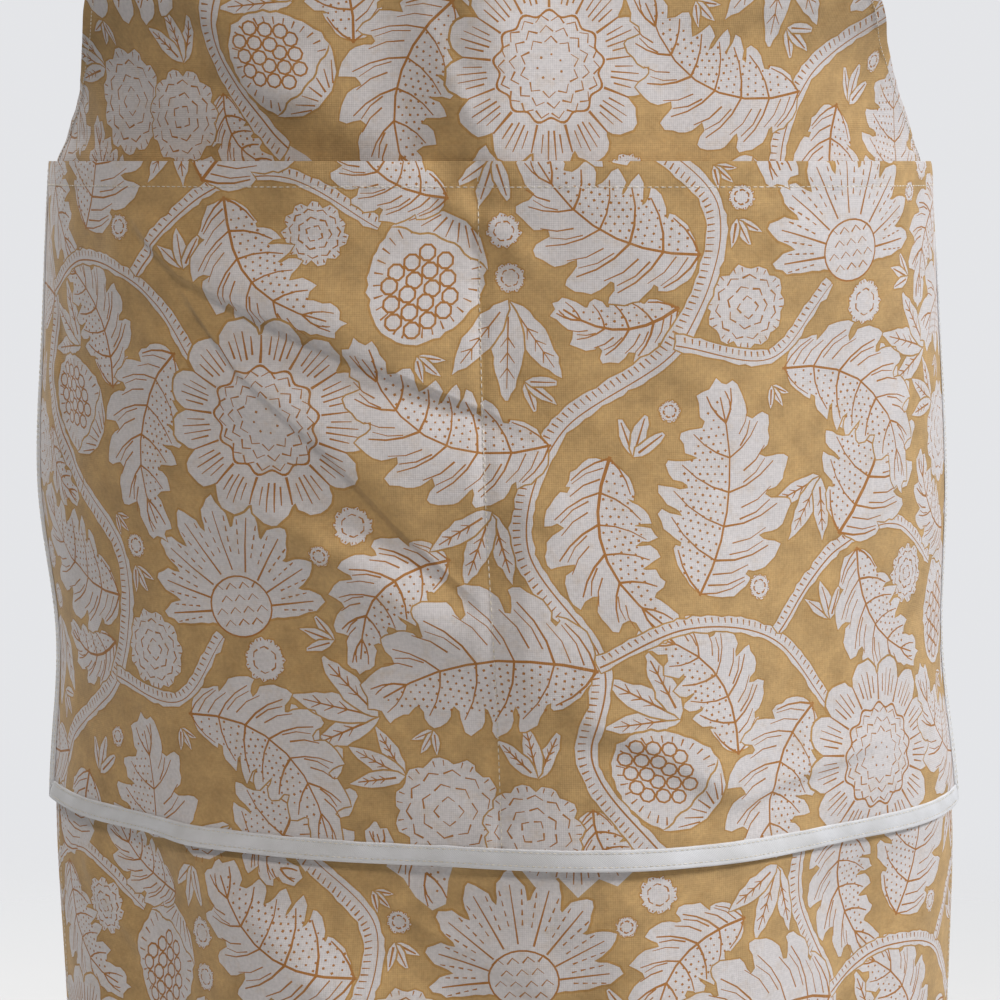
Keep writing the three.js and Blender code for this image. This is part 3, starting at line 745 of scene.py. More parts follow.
def cloth_piece(name, outline, place, shift, lines=(), fine_at=None, inset=None, step=GRID_STEP):
    """A closed two-sided wall of printed cloth over a flat outline. place gives the worn position."""
    outline = np.asarray(outline, complex)
    low = complex(outline.real.min(), outline.imag.min())
    high = complex(outline.real.max(), outline.imag.max())
    laid = print_over(low, high, shift)
    back_laid = [(inset(p[::3]), ink) for p, ink in laid if ink == BARE and len(p) > 15] if inset else []
    back_laid = [(p, ink) for p, ink in back_laid if np.ptp(p.real) > 2.0 and np.ptp(p.imag) > 2.0]
    if fine_at:
        laid = [(p, ink) if fine_at(p.mean()) else (p[::4], ink)
                for p, ink in laid if ink == BARE and len(p) > 24 or fine_at(p.mean())]
    guides = [(line, False) for line in lines]
    points, triangles, middles = triangulate(outline, [(p, True) for p, _ in laid] + guides, low, high, step)
    inside = winding(outline, middles) != 0
    triangles = triangles[inside]
    front_ink = inks_at(middles[inside], laid)
    loop = rim_loop(triangles)
    edge = points[loop]
    back = triangulate(edge, [(p, True) for p, _ in back_laid] + guides, low, high, step * 1.8)
    back_inside = winding(edge, back[2]) != 0
    back_ink = inks_at(back[2][back_inside], back_laid)
    front_at, front_normal = facing(place, points, 1)
    back_at, back_normal = facing(place, back[0], -1)
    count = len(points)
    near = {(round(float(p.real), 3), round(float(p.imag), 3)): k for k, p in enumerate(back[0])}
    partner = [near.get((round(float(p.real), 3), round(float(p.imag), 3)), -1) for p in edge]
    for k, p in enumerate(edge):
        if partner[k] < 0:
            partner[k] = int(np.argmin(np.abs(back[0] - p)))
    rim = []
    for k in range(len(loop)):
        a, b = loop[k - 1], loop[k]
        c, d = count + partner[k], count + partner[k - 1]
        rim += [(b, a, d), (b, d, c)]
    faces = np.concatenate([triangles, back[1][back_inside][:, ::-1] + count, np.array(rim)])
    used, faces = np.unique(faces, return_inverse=True)
    faces = faces.reshape(-1, 3)
    mesh = bpy.data.meshes.new(name)
    spots = np.concatenate([front_at, back_at])[used]
    mesh.from_pydata(spots.tolist(), [], faces.tolist())
    inks = np.concatenate([front_ink, back_ink, np.full(len(rim), float(DYE))])
    wrong = np.concatenate([np.zeros(len(front_ink)), np.ones(len(back_ink)), np.zeros(len(rim))])
    mesh.attributes.new("ink", "FLOAT", "FACE").data.foreach_set("value", inks.astype(np.float32))
    mesh.attributes.new("wrong_side", "FLOAT", "FACE").data.foreach_set("value", wrong.astype(np.float32))
    flat = np.concatenate([points, back[0]])[used] * MM
    uv = mesh.uv_layers.new(name="cloth")
    corners = faces.ravel()
    uv.data.foreach_set("uv", np.column_stack([flat.real, flat.imag])[corners].astype(np.float32).ravel())
    mesh.polygons.foreach_set("use_smooth", np.ones(len(faces), bool))
    mesh.normals_split_custom_set_from_vertices(np.concatenate([front_normal, back_normal])[used].tolist())
    mesh.update()
    piece = bpy.data.objects.new(name, mesh)
    bpy.context.scene.collection.objects.link(piece)
    return piece


# Light plain-weave cotton, block printed: matt, with a slubby thread, a dye that lies unevenly and is
# darker where it gathered at the blocks' edges, and a wrong side on which the print shows faintly.
WEAVE_MM = 1.0  # the real threads are about 0.3 mm apart: drawn coarser so that they show
SLUB_MM = 26.0
MOTTLE_MM = 17.0
STAIN_MM = 9.0


def linear(code):
    """A hex colour as linear values with full alpha."""
    parts = [int(code[i:i + 2], 16) / 255.0 for i in (1, 3, 5)]
    return tuple(c / 12.92 if c <= 0.04045 else ((c + 0.055) / 1.055) ** 2.4 for c in parts) + (1.0,)


def add_node(tree, kind, links=None, **settings):
    """Adds a node, with its settings and with a value or a link for each named or numbered input."""
    node = tree.nodes.new(kind)
    for name, value in settings.items():
        setattr(node, name, value)
    for socket, source in (links or {}).items():
        if isinstance(source, bpy.types.NodeSocket):
            tree.links.new(source, node.inputs[socket])
        else:
            node.inputs[socket].default_value = source
    return node


def new_material(name):
    material = bpy.data.materials.new(name)
    material.use_nodes = True
    material.node_tree.nodes.clear()
    return material, material.node_tree


printed_cotton, tree = new_material("block_printed_plain_weave_cotton")
flat_place = add_node(tree, "ShaderNodeUVMap", uv_map="cloth").outputs["UV"]
ink = add_node(tree, "ShaderNodeAttribute", attribute_name="ink").outputs["Fac"]
wrong_side = add_node(tree, "ShaderNodeAttribute", attribute_name="wrong_side").outputs["Fac"]
ink_step = add_node(tree, "ShaderNodeMath", {0: ink, 1: 0.25, 2: 0.125}, operation="MULTIPLY_ADD").outputs[0]
ramp = add_node(tree, "ShaderNodeValToRGB", {"Fac": ink_step})
ramp.color_ramp.interpolation = "CONSTANT"
ramp.color_ramp.elements[0].color = linear("#be9c6a")
ramp.color_ramp.elements[1].position = 0.25
ramp.color_ramp.elements[1].color = linear("#b58d56")
ramp.color_ramp.elements.new(0.5).color = linear("#d3cecd")
ramp.color_ramp.elements.new(0.75).color = linear("#a8733d")
is_dyed = add_node(tree, "ShaderNodeMath", {0: ink, 1: 1.5}, operation="LESS_THAN").outputs[0]
mottle = add_node(tree, "ShaderNodeTexNoise", {
    "Vector": flat_place, "Scale": 1.0 / (MOTTLE_MM * MM), "Detail": 6.0, "Roughness": 0.66,
}).outputs["Fac"]
dye_shade = add_node(tree, "ShaderNodeMapRange", {
    "Value": mottle, "From Min": 0.32, "From Max": 0.68, "To Min": 0.78, "To Max": 1.14,
}).outputs[0]
bare_shade = add_node(tree, "ShaderNodeMapRange", {
    "Value": mottle, "From Min": 0.3, "From Max": 0.7, "To Min": 0.95, "To Max": 1.03,
}).outputs[0]
shade = add_node(tree, "ShaderNodeMix", {
    "Factor": is_dyed, "A": bare_shade, "B": dye_shade,
}).outputs["Result"]
grain = add_node(tree, "ShaderNodeTexNoise", {
    "Vector": flat_place, "Scale": 1.0 / (1.7 * MM), "Detail": 2.0,
}).outputs["Fac"]
grain_shade = add_node(tree, "ShaderNodeMapRange", {
    "Value": grain, "From Min": 0.3, "From Max": 0.7, "To Min": 0.92, "To Max": 1.07,
}).outputs[0]
both_shades = add_node(tree, "ShaderNodeMath", {0: shade, 1: grain_shade}, operation="MULTIPLY").outputs[0]
stain = add_node(tree, "ShaderNodeTexNoise", {
    "Vector": flat_place, "Scale": 1.0 / (STAIN_MM * MM), "Detail": 5.0, "Roughness": 0.7,
}).outputs["Fac"]
stain_amount = add_node(tree, "ShaderNodeMapRange", {
    "Value": stain, "From Min": 0.5, "From Max": 0.74, "To Min": 0.0, "To Max": 0.3,
}).outputs[0]
stain_colour = add_node(tree, "ShaderNodeMix", {
    "Factor": is_dyed, "A": linear("#c2a478"), "B": linear("#a98049"),
}, data_type="RGBA").outputs["Result"]
stained = add_node(tree, "ShaderNodeMix", {
    "Factor": stain_amount, "A": ramp.outputs["Color"], "B": stain_colour,
}, data_type="RGBA").outputs["Result"]
dyed = add_node(tree, "ShaderNodeVectorMath", {0: stained, 3: both_shades}, operation="SCALE")
pale = add_node(tree, "ShaderNodeMath", {0: wrong_side, 1: 0.5}, operation="MULTIPLY").outputs[0]
colour = add_node(tree, "ShaderNodeMix", {
    "Factor": pale, "A": dyed.outputs[0], "B": linear("#d6cfc4"),
}, data_type="RGBA").outputs["Result"]


def weave_height(tree, place, pitch_mm):
    """Warp and weft threads over and under each other, with slubs along both."""
    scale = 2 * math.pi / (20.0 * pitch_mm * MM)
    threads = []
    for way in ("X", "Y"):
        threads.append(add_node(tree, "ShaderNodeTexWave", {
            "Vector": place, "Scale": scale, "Distortion": 0.6, "Detail": 1.0, "Detail Scale": 0.4,
        }, wave_type="BANDS", bands_direction=way).outputs["Fac"])
    slubs = []
    for stretch in ((1.0, 0.06, 1.0), (0.06, 1.0, 1.0)):
        stretched = add_node(tree, "ShaderNodeMapping", {"Vector": place, "Scale": stretch}).outputs[0]
        slubs.append(add_node(tree, "ShaderNodeTexNoise", {
            "Vector": stretched, "Scale": 12.0 / (SLUB_MM * MM), "Detail": 2.0,
        }).outputs["Fac"])
    over = add_node(tree, "ShaderNodeMath", {0: threads[0], 1: threads[1]}, operation="ADD").outputs[0]
    slub = add_node(tree, "ShaderNodeMath", {0: slubs[0], 1: slubs[1]}, operation="ADD").outputs[0]
    return add_node(tree, "ShaderNodeMath", {0: slub, 1: 1.6, 2: over}, operation="MULTIPLY_ADD").outputs[0]


height = weave_height(tree, flat_place, WEAVE_MM)
bump = add_node(tree, "ShaderNodeBump", {"Strength": 0.34, "Distance": 0.00012, "Height": height}).outputs[0]
rough = add_node(tree, "ShaderNodeMapRange", {"Value": grain, "To Min": 0.82, "To Max": 0.96}).outputs[0]
cotton_shader = add_node(tree, "ShaderNodeBsdfPrincipled", {
    "Base Color": colour, "Roughness": rough, "Normal": bump, "Specular IOR Level": 0.25,
    "Sheen Weight": 0.12, "Sheen Roughness": 0.5,
})
add_node(tree, "ShaderNodeOutputMaterial", {"Surface": cotton_shader.outputs[0]})

# Where the body's hems are turned in: widths at the bib's top, the sides and the skirt's foot.
SIDE_HEM = 8.0
BIB_HEM = 24.0
SKIRT_HEM = 15.0
HEM_RISE = 0.32


def body_hem(s, z):
    """One on the turned hems and nought on the single cloth."""
    sides = smooth(SIDE_HEM - (edge_at(z) - np.abs(s)), -0.6, 0.6)
    top = smooth(BIB_HEM - (BIB_TOP_Z - z), -0.6, 0.6)
    foot = smooth(SKIRT_HEM - (z - HEM_Z), -0.6, 0.6)
    return np.maximum(np.maximum(sides, top), foot)


def behind_pocket(s, z):
    """One where the body lies well behind the open pocket and nought where they touch."""
    level = level_at(z)
    return mouth_share(s / FLAT_HALF_WIDTH, level) * smooth(-level, -BACK_FADE, 0.0)


def body_place(s, z, side):
    """The body's worn cloth: behind the open pocket it has few of the folds and no creases."""
    behind = behind_pocket(s, z)
    out = side * (CLOTH_WALL / 2 + HEM_RISE * body_hem(s, z))
    return worn(s, z, out, 1.0 - (1.0 - BACK_SHARE) * behind, 1.0 - smooth(behind, 0.0, 0.5))


def body_edge(inset):
    """The body's outline, a distance inside its cut edge."""
    heights = np.concatenate([
        np.linspace(HEM_Z + inset, WAIST_Z, 90),
        WAIST_Z + (BIB_TOP_Z - inset - WAIST_Z) * np.linspace(0, 1, 70)[1:] ** 1.4,
    ])
    right = edge_at(heights) - inset + 1j * heights
    return np.concatenate([right, -right[::-1].conjugate()])


def inside_hems(loop):
    """An outline of the print on the wrong side, kept within the turned hems."""
    z = np.clip(loop.imag, HEM_Z + SKIRT_HEM + 1.5, BIB_TOP_Z - BIB_HEM - 1.5)
    room = edge_at(z) - SIDE_HEM - 1.5
    return np.clip(loop.real, -room, room) + 1j * z


def shown_on_body(middle):
    """The fine lines are left off where the pocket covers the body."""
    return not (POCKET_BOTTOM_Z + 4.0 < middle.imag < WAIST_Z - 45.0)


body_hem_lines = []
for by in (-0.7, 0.7):
    wide = edge_at(HEM_Z) - SIDE_HEM - 1.5
    body_hem_lines.append(np.linspace(-wide, wide, 60) + 1j * (HEM_Z + SKIRT_HEM + by))
    wide = edge_at(BIB_TOP_Z - BIB_HEM) - SIDE_HEM - 1.5
    body_hem_lines.append(np.linspace(-wide, wide, 40) + 1j * (BIB_TOP_Z - BIB_HEM + by))
    heights = np.linspace(HEM_Z + 1.0, BIB_TOP_Z - 1.0, 100)
    for hand in (-1, 1):
        body_hem_lines.append(hand * (edge_at(heights) - SIDE_HEM + by) + 1j * heights)


def creased_body(at):
    """Where the body's mesh needs lines beside its creases."""
    inside = np.abs(at.real) < edge_at(at.imag) - SIDE_HEM - 3.0
    inside &= (at.imag > HEM_Z + SKIRT_HEM + 3.0) & (at.imag < BIB_TOP_Z - BIB_HEM - 3.0)
    return inside & (behind_pocket(at.real, at.imag) < 0.35)


body_hem_lines += crease_lines(creased_body)
BODY_SHIFT = 118.0 + 61.0j
body = cloth_piece("apron_body_cloth", body_edge(0.0), body_place, BODY_SHIFT, body_hem_lines,
                   shown_on_body, inside_hems)
body.data.materials.append(printed_cotton)
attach(body, "root")
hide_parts("apron_body")
heights = np.linspace(HEM_Z, BIB_TOP_Z, 400)
body_area = float(np.mean(2.0 * edge_at(heights))) * (BIB_TOP_Z - HEM_Z) * MM * MM


# Thread: cream cotton sewing thread, lockstitched by machine. Each stitch is a short raised dash that
# sinks in at both ends. The stitches follow lines laid on the cloth.
PLY_MM = 1.0 / 0.9
thread_cotton, tree = new_material("twisted_cotton_sewing_thread")
thread_place = add_node(tree, "ShaderNodeTexCoord").outputs["Object"]
ply = add_node(tree, "ShaderNodeTexNoise", {
    "Vector": thread_place, "Scale": 1.0 / (PLY_MM * MM), "Detail": 2.0,
}).outputs["Fac"]
thread_ramp = add_node(tree, "ShaderNodeValToRGB", {"Fac": ply})
thread_ramp.color_ramp.elements[0].position = 0.35
thread_ramp.color_ramp.elements[0].color = linear("#cdc3ae")
thread_ramp.color_ramp.elements[1].position = 0.65
thread_ramp.color_ramp.elements[1].color = linear("#efe9dc")
thread_bump = add_node(tree, "ShaderNodeBump", {
    "Strength": 0.4, "Distance": 0.08 * MM, "Height": ply,
}).outputs[0]
thread_rough = add_node(tree, "ShaderNodeMapRange", {"Value": ply, "To Min": 0.55, "To Max": 0.8}).outputs[0]
thread_shader = add_node(tree, "ShaderNodeBsdfPrincipled", {
    "Base Color": thread_ramp.outputs[0], "Roughness": thread_rough, "Normal": thread_bump,
    "Sheen Weight": 0.15,
})
add_node(tree, "ShaderNodeOutputMaterial", {"Surface": thread_shader.outputs[0]})

stitch_tree = bpy.data.node_groups.new("machine_stitches", "GeometryNodeTree")
stitch_sockets = {}
for label, kind in (
    ("Line", "NodeSocketGeometry"), ("Pitch", "NodeSocketFloat"), ("Length", "NodeSocketFloat"),
    ("Width", "NodeSocketFloat"), ("Thread", "NodeSocketMaterial"),
):
    socket = stitch_tree.interface.new_socket(label, in_out="INPUT", socket_type=kind)
    stitch_sockets[label] = socket.identifier
stitch_tree.interface.new_socket("Stitches", in_out="OUTPUT", socket_type="NodeSocketGeometry")
given = add_node(stitch_tree, "NodeGroupInput").outputs
run = add_node(stitch_tree, "GeometryNodeMeshToCurve", {"Mesh": given["Line"]}).outputs[0]
spaced_run = add_node(stitch_tree, "GeometryNodeResampleCurve", {"Curve": run, "Length": given["Pitch"]},
                      mode="LENGTH")
tangent = add_node(stitch_tree, "GeometryNodeInputTangent").outputs[0]
turned = add_node(stitch_tree, "FunctionNodeAlignRotationToVector", {"Vector": tangent}, axis="X").outputs[0]
uneven = add_node(stitch_tree, "FunctionNodeRandomValue", {2: 0.86, 3: 1.08, "Seed": 3}, data_type="FLOAT")
one_stitch = add_node(stitch_tree, "GeometryNodeMeshUVSphere", {
    "Segments": 5, "Rings": 4, "Radius": 0.5,
}).outputs[0]
size = add_node(stitch_tree, "ShaderNodeCombineXYZ", {
    0: given["Length"], 1: given["Width"], 2: given["Width"],
})
shaped = add_node(stitch_tree, "GeometryNodeTransform", {
    "Geometry": add_node(stitch_tree, "GeometryNodeTransform", {
        "Geometry": one_stitch, "Rotation": (0.0, math.pi / 2, 0.0),
    }).outputs[0],
    "Scale": size.outputs[0],
}).outputs[0]
row = add_node(stitch_tree, "GeometryNodeInstanceOnPoints", {
    "Points": spaced_run.outputs[0], "Instance": shaped, "Rotation": turned, "Scale": uneven.outputs[1],
}).outputs[0]
real = add_node(stitch_tree, "GeometryNodeRealizeInstances", {"Geometry": row}).outputs[0]
soft = add_node(stitch_tree, "GeometryNodeSetShadeSmooth", {"Geometry": real}).outputs[0]
threaded = add_node(stitch_tree, "GeometryNodeSetMaterial", {"Geometry": soft, "Material": given["Thread"]})
add_node(stitch_tree, "NodeGroupOutput", {0: threaded.outputs[0]})


def stitched(name, paths, pitch=3.0, length=2.3, width=0.55):
    """Rows of stitches along lines of places in metres, as one plain mesh."""
    spots = np.concatenate(paths)
    ends = np.cumsum([len(path) for path in paths])
    edges = [(k, k + 1) for k in range(len(spots) - 1) if k + 1 not in ends]
    mesh = bpy.data.meshes.new(name + "_line")
    mesh.from_pydata(spots.tolist(), edges, [])
    line = bpy.data.objects.new(name + "_line", mesh)
    bpy.context.scene.collection.objects.link(line)
    sewing = line.modifiers.new("sewing", "NODES")
    sewing.node_group = stitch_tree
    sewing[stitch_sockets["Pitch"]] = pitch * MM
    sewing[stitch_sockets["Length"]] = length * MM
    sewing[stitch_sockets["Width"]] = width * MM
    sewing[stitch_sockets["Thread"]] = thread_cotton
    graph = bpy.context.evaluated_depsgraph_get()
    done = bpy.data.meshes.new_from_object(line.evaluated_get(graph), depsgraph=graph)
    bpy.data.objects.remove(line)
    piece = bpy.data.objects.new(name, done)
    bpy.context.scene.collection.objects.link(piece)
    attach(piece, "root")
    return piece


def sewn_line(place, s, z, side, above=0.1):
    """A line of places just above a cloth's face."""
    s, z = np.broadcast_arrays(np.asarray(s, float), np.asarray(z, float))
    at, normal = facing(place, s + 1j * z, side)
    return at + normal * above * MM


hem_paths = []
for side in (1, -1):
    for hand in (-1, 1):
        skirt_z = np.linspace(HEM_Z + 2, WAIST_Z, 120)
        heights = np.concatenate([skirt_z, np.linspace(WAIST_Z, BIB_TOP_Z - 2, 120)[1:]])
        hem_paths.append(sewn_line(body_place, hand * (edge_at(heights) - SIDE_HEM + 1.6), heights, side))
    wide = edge_at(BIB_TOP_Z - BIB_HEM) - SIDE_HEM
    hem_paths.append(sewn_line(body_place, np.linspace(-wide, wide, 80), BIB_TOP_Z - BIB_HEM + 1.6, side))
    wide = FLAT_HALF_WIDTH - SIDE_HEM
    hem_paths.append(sewn_line(body_place, np.linspace(-wide, wide, 160), HEM_Z + SKIRT_HEM - 1.6, side))
stitched("body_hem_stitches", hem_paths)


# Pocket: one panel of the same cotton across the whole front. Its top edge is folded over and stitched
# down, and a row of stitches down its middle joins it to the body, so that it makes two pockets.
POCKET_HEM = 13.6
MOUTH_GAP = 19.0
CAD_BINDING_DEPTH = CAD_WALL / 2 + CLEARANCE + 1.0
EDGE_STAND = CAD_WALL / 2 + CLEARANCE + CAD_BINDING_DEPTH
SEAM_STAND = CLOTH_WALL + 0.15
SEAM_SPREAD = 0.09
BINDING_RISE = 9.5 / POCKET_HEIGHT


def pocket_stand(across, level):
    """How far the pocket stands off the body: close at the seams, open at its mouths."""
    seam = np.exp(-(across / SEAM_SPREAD) ** 2) * smooth(1.0 + level, BINDING_RISE, 4.0 * BINDING_RISE)
    return EDGE_STAND + (SEAM_STAND - EDGE_STAND) * seam + MOUTH_GAP * mouth_share(across, level)


def pocket_place(s, z, side):
    """The pocket's worn cloth, with its folded top and the pull of its stitches."""
    across = s / FLAT_HALF_WIDTH
    below = WAIST_Z - z
    hem = smooth(POCKET_HEM - below, -0.6, 0.6)
    rounded = 0.35 * (1.0 - smooth(below, 0.0, 1.6))
    pull = 0.34 * np.exp(-((below - POCKET_HEM + 1.6) / 1.6) ** 2) * (0.7 + 0.6 * crumple(s, z, 6.0, 21))
    puckers = 0.45 * crumple(s + 0.8 * below, z * 0.2, 13.0, 25) * np.exp(-(below / 24.0) ** 2)
    gathers = 0.3 * np.abs(crumple(np.full_like(z, 3.0), z, 7.0, 23))
    seam = 0.35 * np.exp(-(s / 1.7) ** 2) + gathers * np.exp(-(s / 7.0) ** 2)
    swell = 0.5 * np.exp(-((np.abs(s) - 6.0) / 3.5) ** 2)
    out = side * (CLOTH_WALL / 2 + HEM_RISE * hem - rounded) - pull - seam + swell + puckers
    return worn(s, z, pocket_stand(across, level_at(z)) + out)


def inside_pocket_hem(loop):
    """An outline of the print on the pocket's wrong side, kept within its hem and binding."""
    z = np.clip(loop.imag, POCKET_BOTTOM_Z + 3.0, WAIST_Z - POCKET_HEM - 1.5)
    return np.clip(loop.real, 3.0 - FLAT_HALF_WIDTH, FLAT_HALF_WIDTH - 3.0) + 1j * z


side_z = np.linspace(POCKET_BOTTOM_Z, WAIST_Z, 60)
side_s = np.linspace(-FLAT_HALF_WIDTH, FLAT_HALF_WIDTH, 110)
pocket_outline = np.concatenate([
    side_s + 1j * POCKET_BOTTOM_Z,
    FLAT_HALF_WIDTH + 1j * side_z[1:-1],
    side_s[::-1] + 1j * WAIST_Z,
    -FLAT_HALF_WIDTH + 1j * side_z[::-1][1:-1],
])
pocket_lines = [side_s[1:-1] + 1j * (WAIST_Z - at) for at in (1.6, POCKET_HEM - 3.0, POCKET_HEM - 1.6,
                                                             POCKET_HEM - 0.6, POCKET_HEM + 0.7)]
for at in (-6.0, -3.4, -1.7, 0.0, 1.7, 3.4, 6.0):
    pocket_lines.append(at + 1j * np.linspace(POCKET_BOTTOM_Z + 10.0, WAIST_Z - POCKET_HEM - 2.0, 90))


def creased_pocket(at):
    """Where the pocket's mesh needs lines beside its creases."""
    inside = np.abs(at.real) < FLAT_HALF_WIDTH - 8.0
    return inside & (at.imag > POCKET_BOTTOM_Z + 8.0) & (at.imag < WAIST_Z - POCKET_HEM - 3.0)


pocket_lines += crease_lines(creased_pocket)
POCKET_SHIFT = -14.0 + 236.0j
pocket = cloth_piece("pocket_panel_cloth", pocket_outline, pocket_place, POCKET_SHIFT, pocket_lines,
                     None, inside_pocket_hem)
pocket.data.materials.append(printed_cotton)
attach(pocket, "root")
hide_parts("pocket_panel")
pocket_paths = [
    sewn_line(pocket_place, np.linspace(-297.0, 297.0, 260), WAIST_Z - POCKET_HEM + 1.6, 1),
    sewn_line(pocket_place, np.linspace(-297.0, 297.0, 260), WAIST_Z - POCKET_HEM + 1.6, -1),
    sewn_line(pocket_place, 0.0, np.linspace(WAIST_Z - 2.0, POCKET_BOTTOM_Z + 11.0, 160), 1, 0.2),
    sewn_line(body_place, 0.0, np.linspace(WAIST_Z - 2.0, POCKET_BOTTOM_Z + 11.0, 160), -1, 0.15),
]
stitched("pocket_stitches", pocket_paths, 3.2, 2.5, 0.6)


# White binding: a bias tape of plain-weave cotton, folded over the pocket's raw edge and stitched through
# along both its edges, up each side and along the foot, mitred at the lower corners.
white_cotton, tree = new_material("pressed_white_cotton_bias_tape")
tape_place = add_node(tree, "ShaderNodeUVMap", uv_map="cloth").outputs["UV"]
bias = add_node(tree, "ShaderNodeMapping", {
    "Vector": tape_place, "Rotation": (0.0, 0.0, math.radians(45)),
}).outputs[0]
tape_soil = add_node(tree, "ShaderNodeTexNoise", {
    "Vector": tape_place, "Scale": 1 / (21 * MM), "Detail": 4.0,
}).outputs["Fac"]
tape_ramp = add_node(tree, "ShaderNodeValToRGB", {"Fac": tape_soil})
tape_ramp.color_ramp.elements[0].position = 0.3
tape_ramp.color_ramp.elements[0].color = linear("#d3d3d3")
tape_ramp.color_ramp.elements[1].position = 0.7
tape_ramp.color_ramp.elements[1].color = linear("#e3e4e7")
tape_height = weave_height(tree, bias, 0.8)
tape_bump = add_node(tree, "ShaderNodeBump", {
    "Strength": 0.5, "Distance": 0.1 * MM, "Height": tape_height,
}).outputs[0]
tape_rough = add_node(tree, "ShaderNodeMapRange", {
    "Value": tape_soil, "To Min": 0.78, "To Max": 0.92,
}).outputs[0]
tape_shader = add_node(tree, "ShaderNodeBsdfPrincipled", {
    "Base Color": tape_ramp.outputs[0], "Roughness": tape_rough, "Normal": tape_bump,
    "Specular IOR Level": 0.3, "Sheen Weight": 0.12,
})
add_node(tree, "ShaderNodeOutputMaterial", {"Surface": tape_shader.outputs[0]})

MITRE_GAP = 0.18
# The tape's section, from the front leg's inner edge round the fold to the rear leg's: distance in from
# the pocket's cut edge, and out from the pocket's middle.
TAPE_OUTER = np.array([
    (9.5, 0.66), (9.45, 1.0), (9.1, 1.3), (8.4, 1.34), (7.9, 1.2), (7.2, 1.32), (5.5, 1.42), (3.5, 1.4),
    (2.0, 1.3), (1.4, 1.18), (0.8, 1.28), (0.0, 1.32), (-0.6, 1.15), (-1.0, 0.75), (-1.12, 0.0),
    (-1.0, -0.75), (-0.6, -1.15), (0.4, -1.3), (1.4, -1.18), (3.5, -1.4), (5.5, -1.4), (7.9, -1.2),
    (9.1, -1.3), (9.45, -1.0), (9.5, -0.66),
])
TAPE_INNER = TAPE_OUTER.copy()
TAPE_INNER[:, 0] = np.maximum(TAPE_OUTER[:, 0] - 0.08, -0.4)
TAPE_INNER[:, 1] = np.sign(TAPE_OUTER[:, 1]) * np.minimum(0.56, np.abs(TAPE_OUTER[:, 1]))


def walled(name, outer, inner, flat, material):
    """A closed wall through rows of outer and inner points, with each point's flat place for its weave."""
    rows, across = outer.shape[:2]
    ring = np.concatenate([outer, inner[:, ::-1]], axis=1)
    flat_ring = np.concatenate([flat, flat[:, ::-1]], axis=1).reshape(-1, 2)
    round_count = 2 * across
    faces = []
    for r in range(rows - 1):
        for i in range(round_count):
            j = (i + 1) % round_count
            here, ahead = r * round_count, (r + 1) * round_count
            faces.append((here + i, here + j, ahead + j, ahead + i))
    end = (rows - 1) * round_count
    for i in range(across - 1):
        far = round_count - 1 - i
        faces.append((i, far, far - 1, i + 1))
        faces.append((end + i, end + i + 1, end + far - 1, end + far))
    mesh = bpy.data.meshes.new(name)
    mesh.from_pydata(ring.reshape(-1, 3).tolist(), [], faces)
    spots = ring.reshape(-1, 3)
    volume = sum(float(np.dot(spots[a], np.cross(spots[b], spots[c]) + np.cross(spots[c], spots[d])))
                 for a, b, c, d in faces)
    corners = np.array(faces).ravel()
    uv = mesh.uv_layers.new(name="cloth")
    uv.data.foreach_set("uv", (flat_ring[corners] * MM).astype(np.float32).ravel())
    if volume < 0:
        mesh.flip_normals()
    mesh.polygons.foreach_set("use_smooth", np.ones(len(faces), bool))
    mesh.update()
    mesh.materials.append(material)
    piece = bpy.data.objects.new(name, mesh)
    bpy.context.scene.collection.objects.link(piece)
    return piece


def tape_rows(way, steps, seed):
    """The tape's outer and inner points along one edge, a little uneven as sewn by hand and eye."""
    t = np.linspace(0.0, 1.0, steps)
    outer = []
    inner = []
    flat = []
    for k, share in enumerate(t):
        slack = 0.22 * crumple(np.array([k * 2.6]), np.array([1.0]), 9.0, seed)[0]
        lift = 0.1 * crumple(np.array([k * 2.6]), np.array([9.0]), 6.0, seed + 1)[0]
        front = TAPE_OUTER.copy()
        front[:3, 0] += slack
        front[3:12, 1] += lift
        outer.append(way(share, front[:, 0], front[:, 1]))
        under = TAPE_INNER.copy()
        under[:3, 0] += slack
        inner.append(way(share, under[:, 0], under[:, 1]))
        flat.append(np.column_stack([np.full(len(t_section), k * 2.6), t_section]))
    return np.array(outer), np.array(inner), np.array(flat)


t_section = np.concatenate([[0.0], np.cumsum(np.hypot(*np.diff(TAPE_OUTER, axis=0).T))])


def lower_way(share, inward, out):
    """A point of the tape along the foot. Its ends lie on the mitres."""
    reach = 1.0 - (inward + MITRE_GAP) / FLAT_HALF_WIDTH
    across = (2.0 * share - 1.0) * reach
    z = POCKET_BOTTOM_Z + inward
    stand = pocket_stand(across, level_at(z))
    return worn(across * FLAT_HALF_WIDTH, z, stand + out)


def side_way(side):
    """A point of the tape up one side, from the top to its mitre."""
    def way(share, inward, out):
        z = WAIST_Z + share * (POCKET_BOTTOM_Z + inward + MITRE_GAP - WAIST_Z)
        across = side * (1.0 - inward / FLAT_HALF_WIDTH)
        return worn(across * FLAT_HALF_WIDTH, z, pocket_stand(across, level_at(z)) + out)
    return way


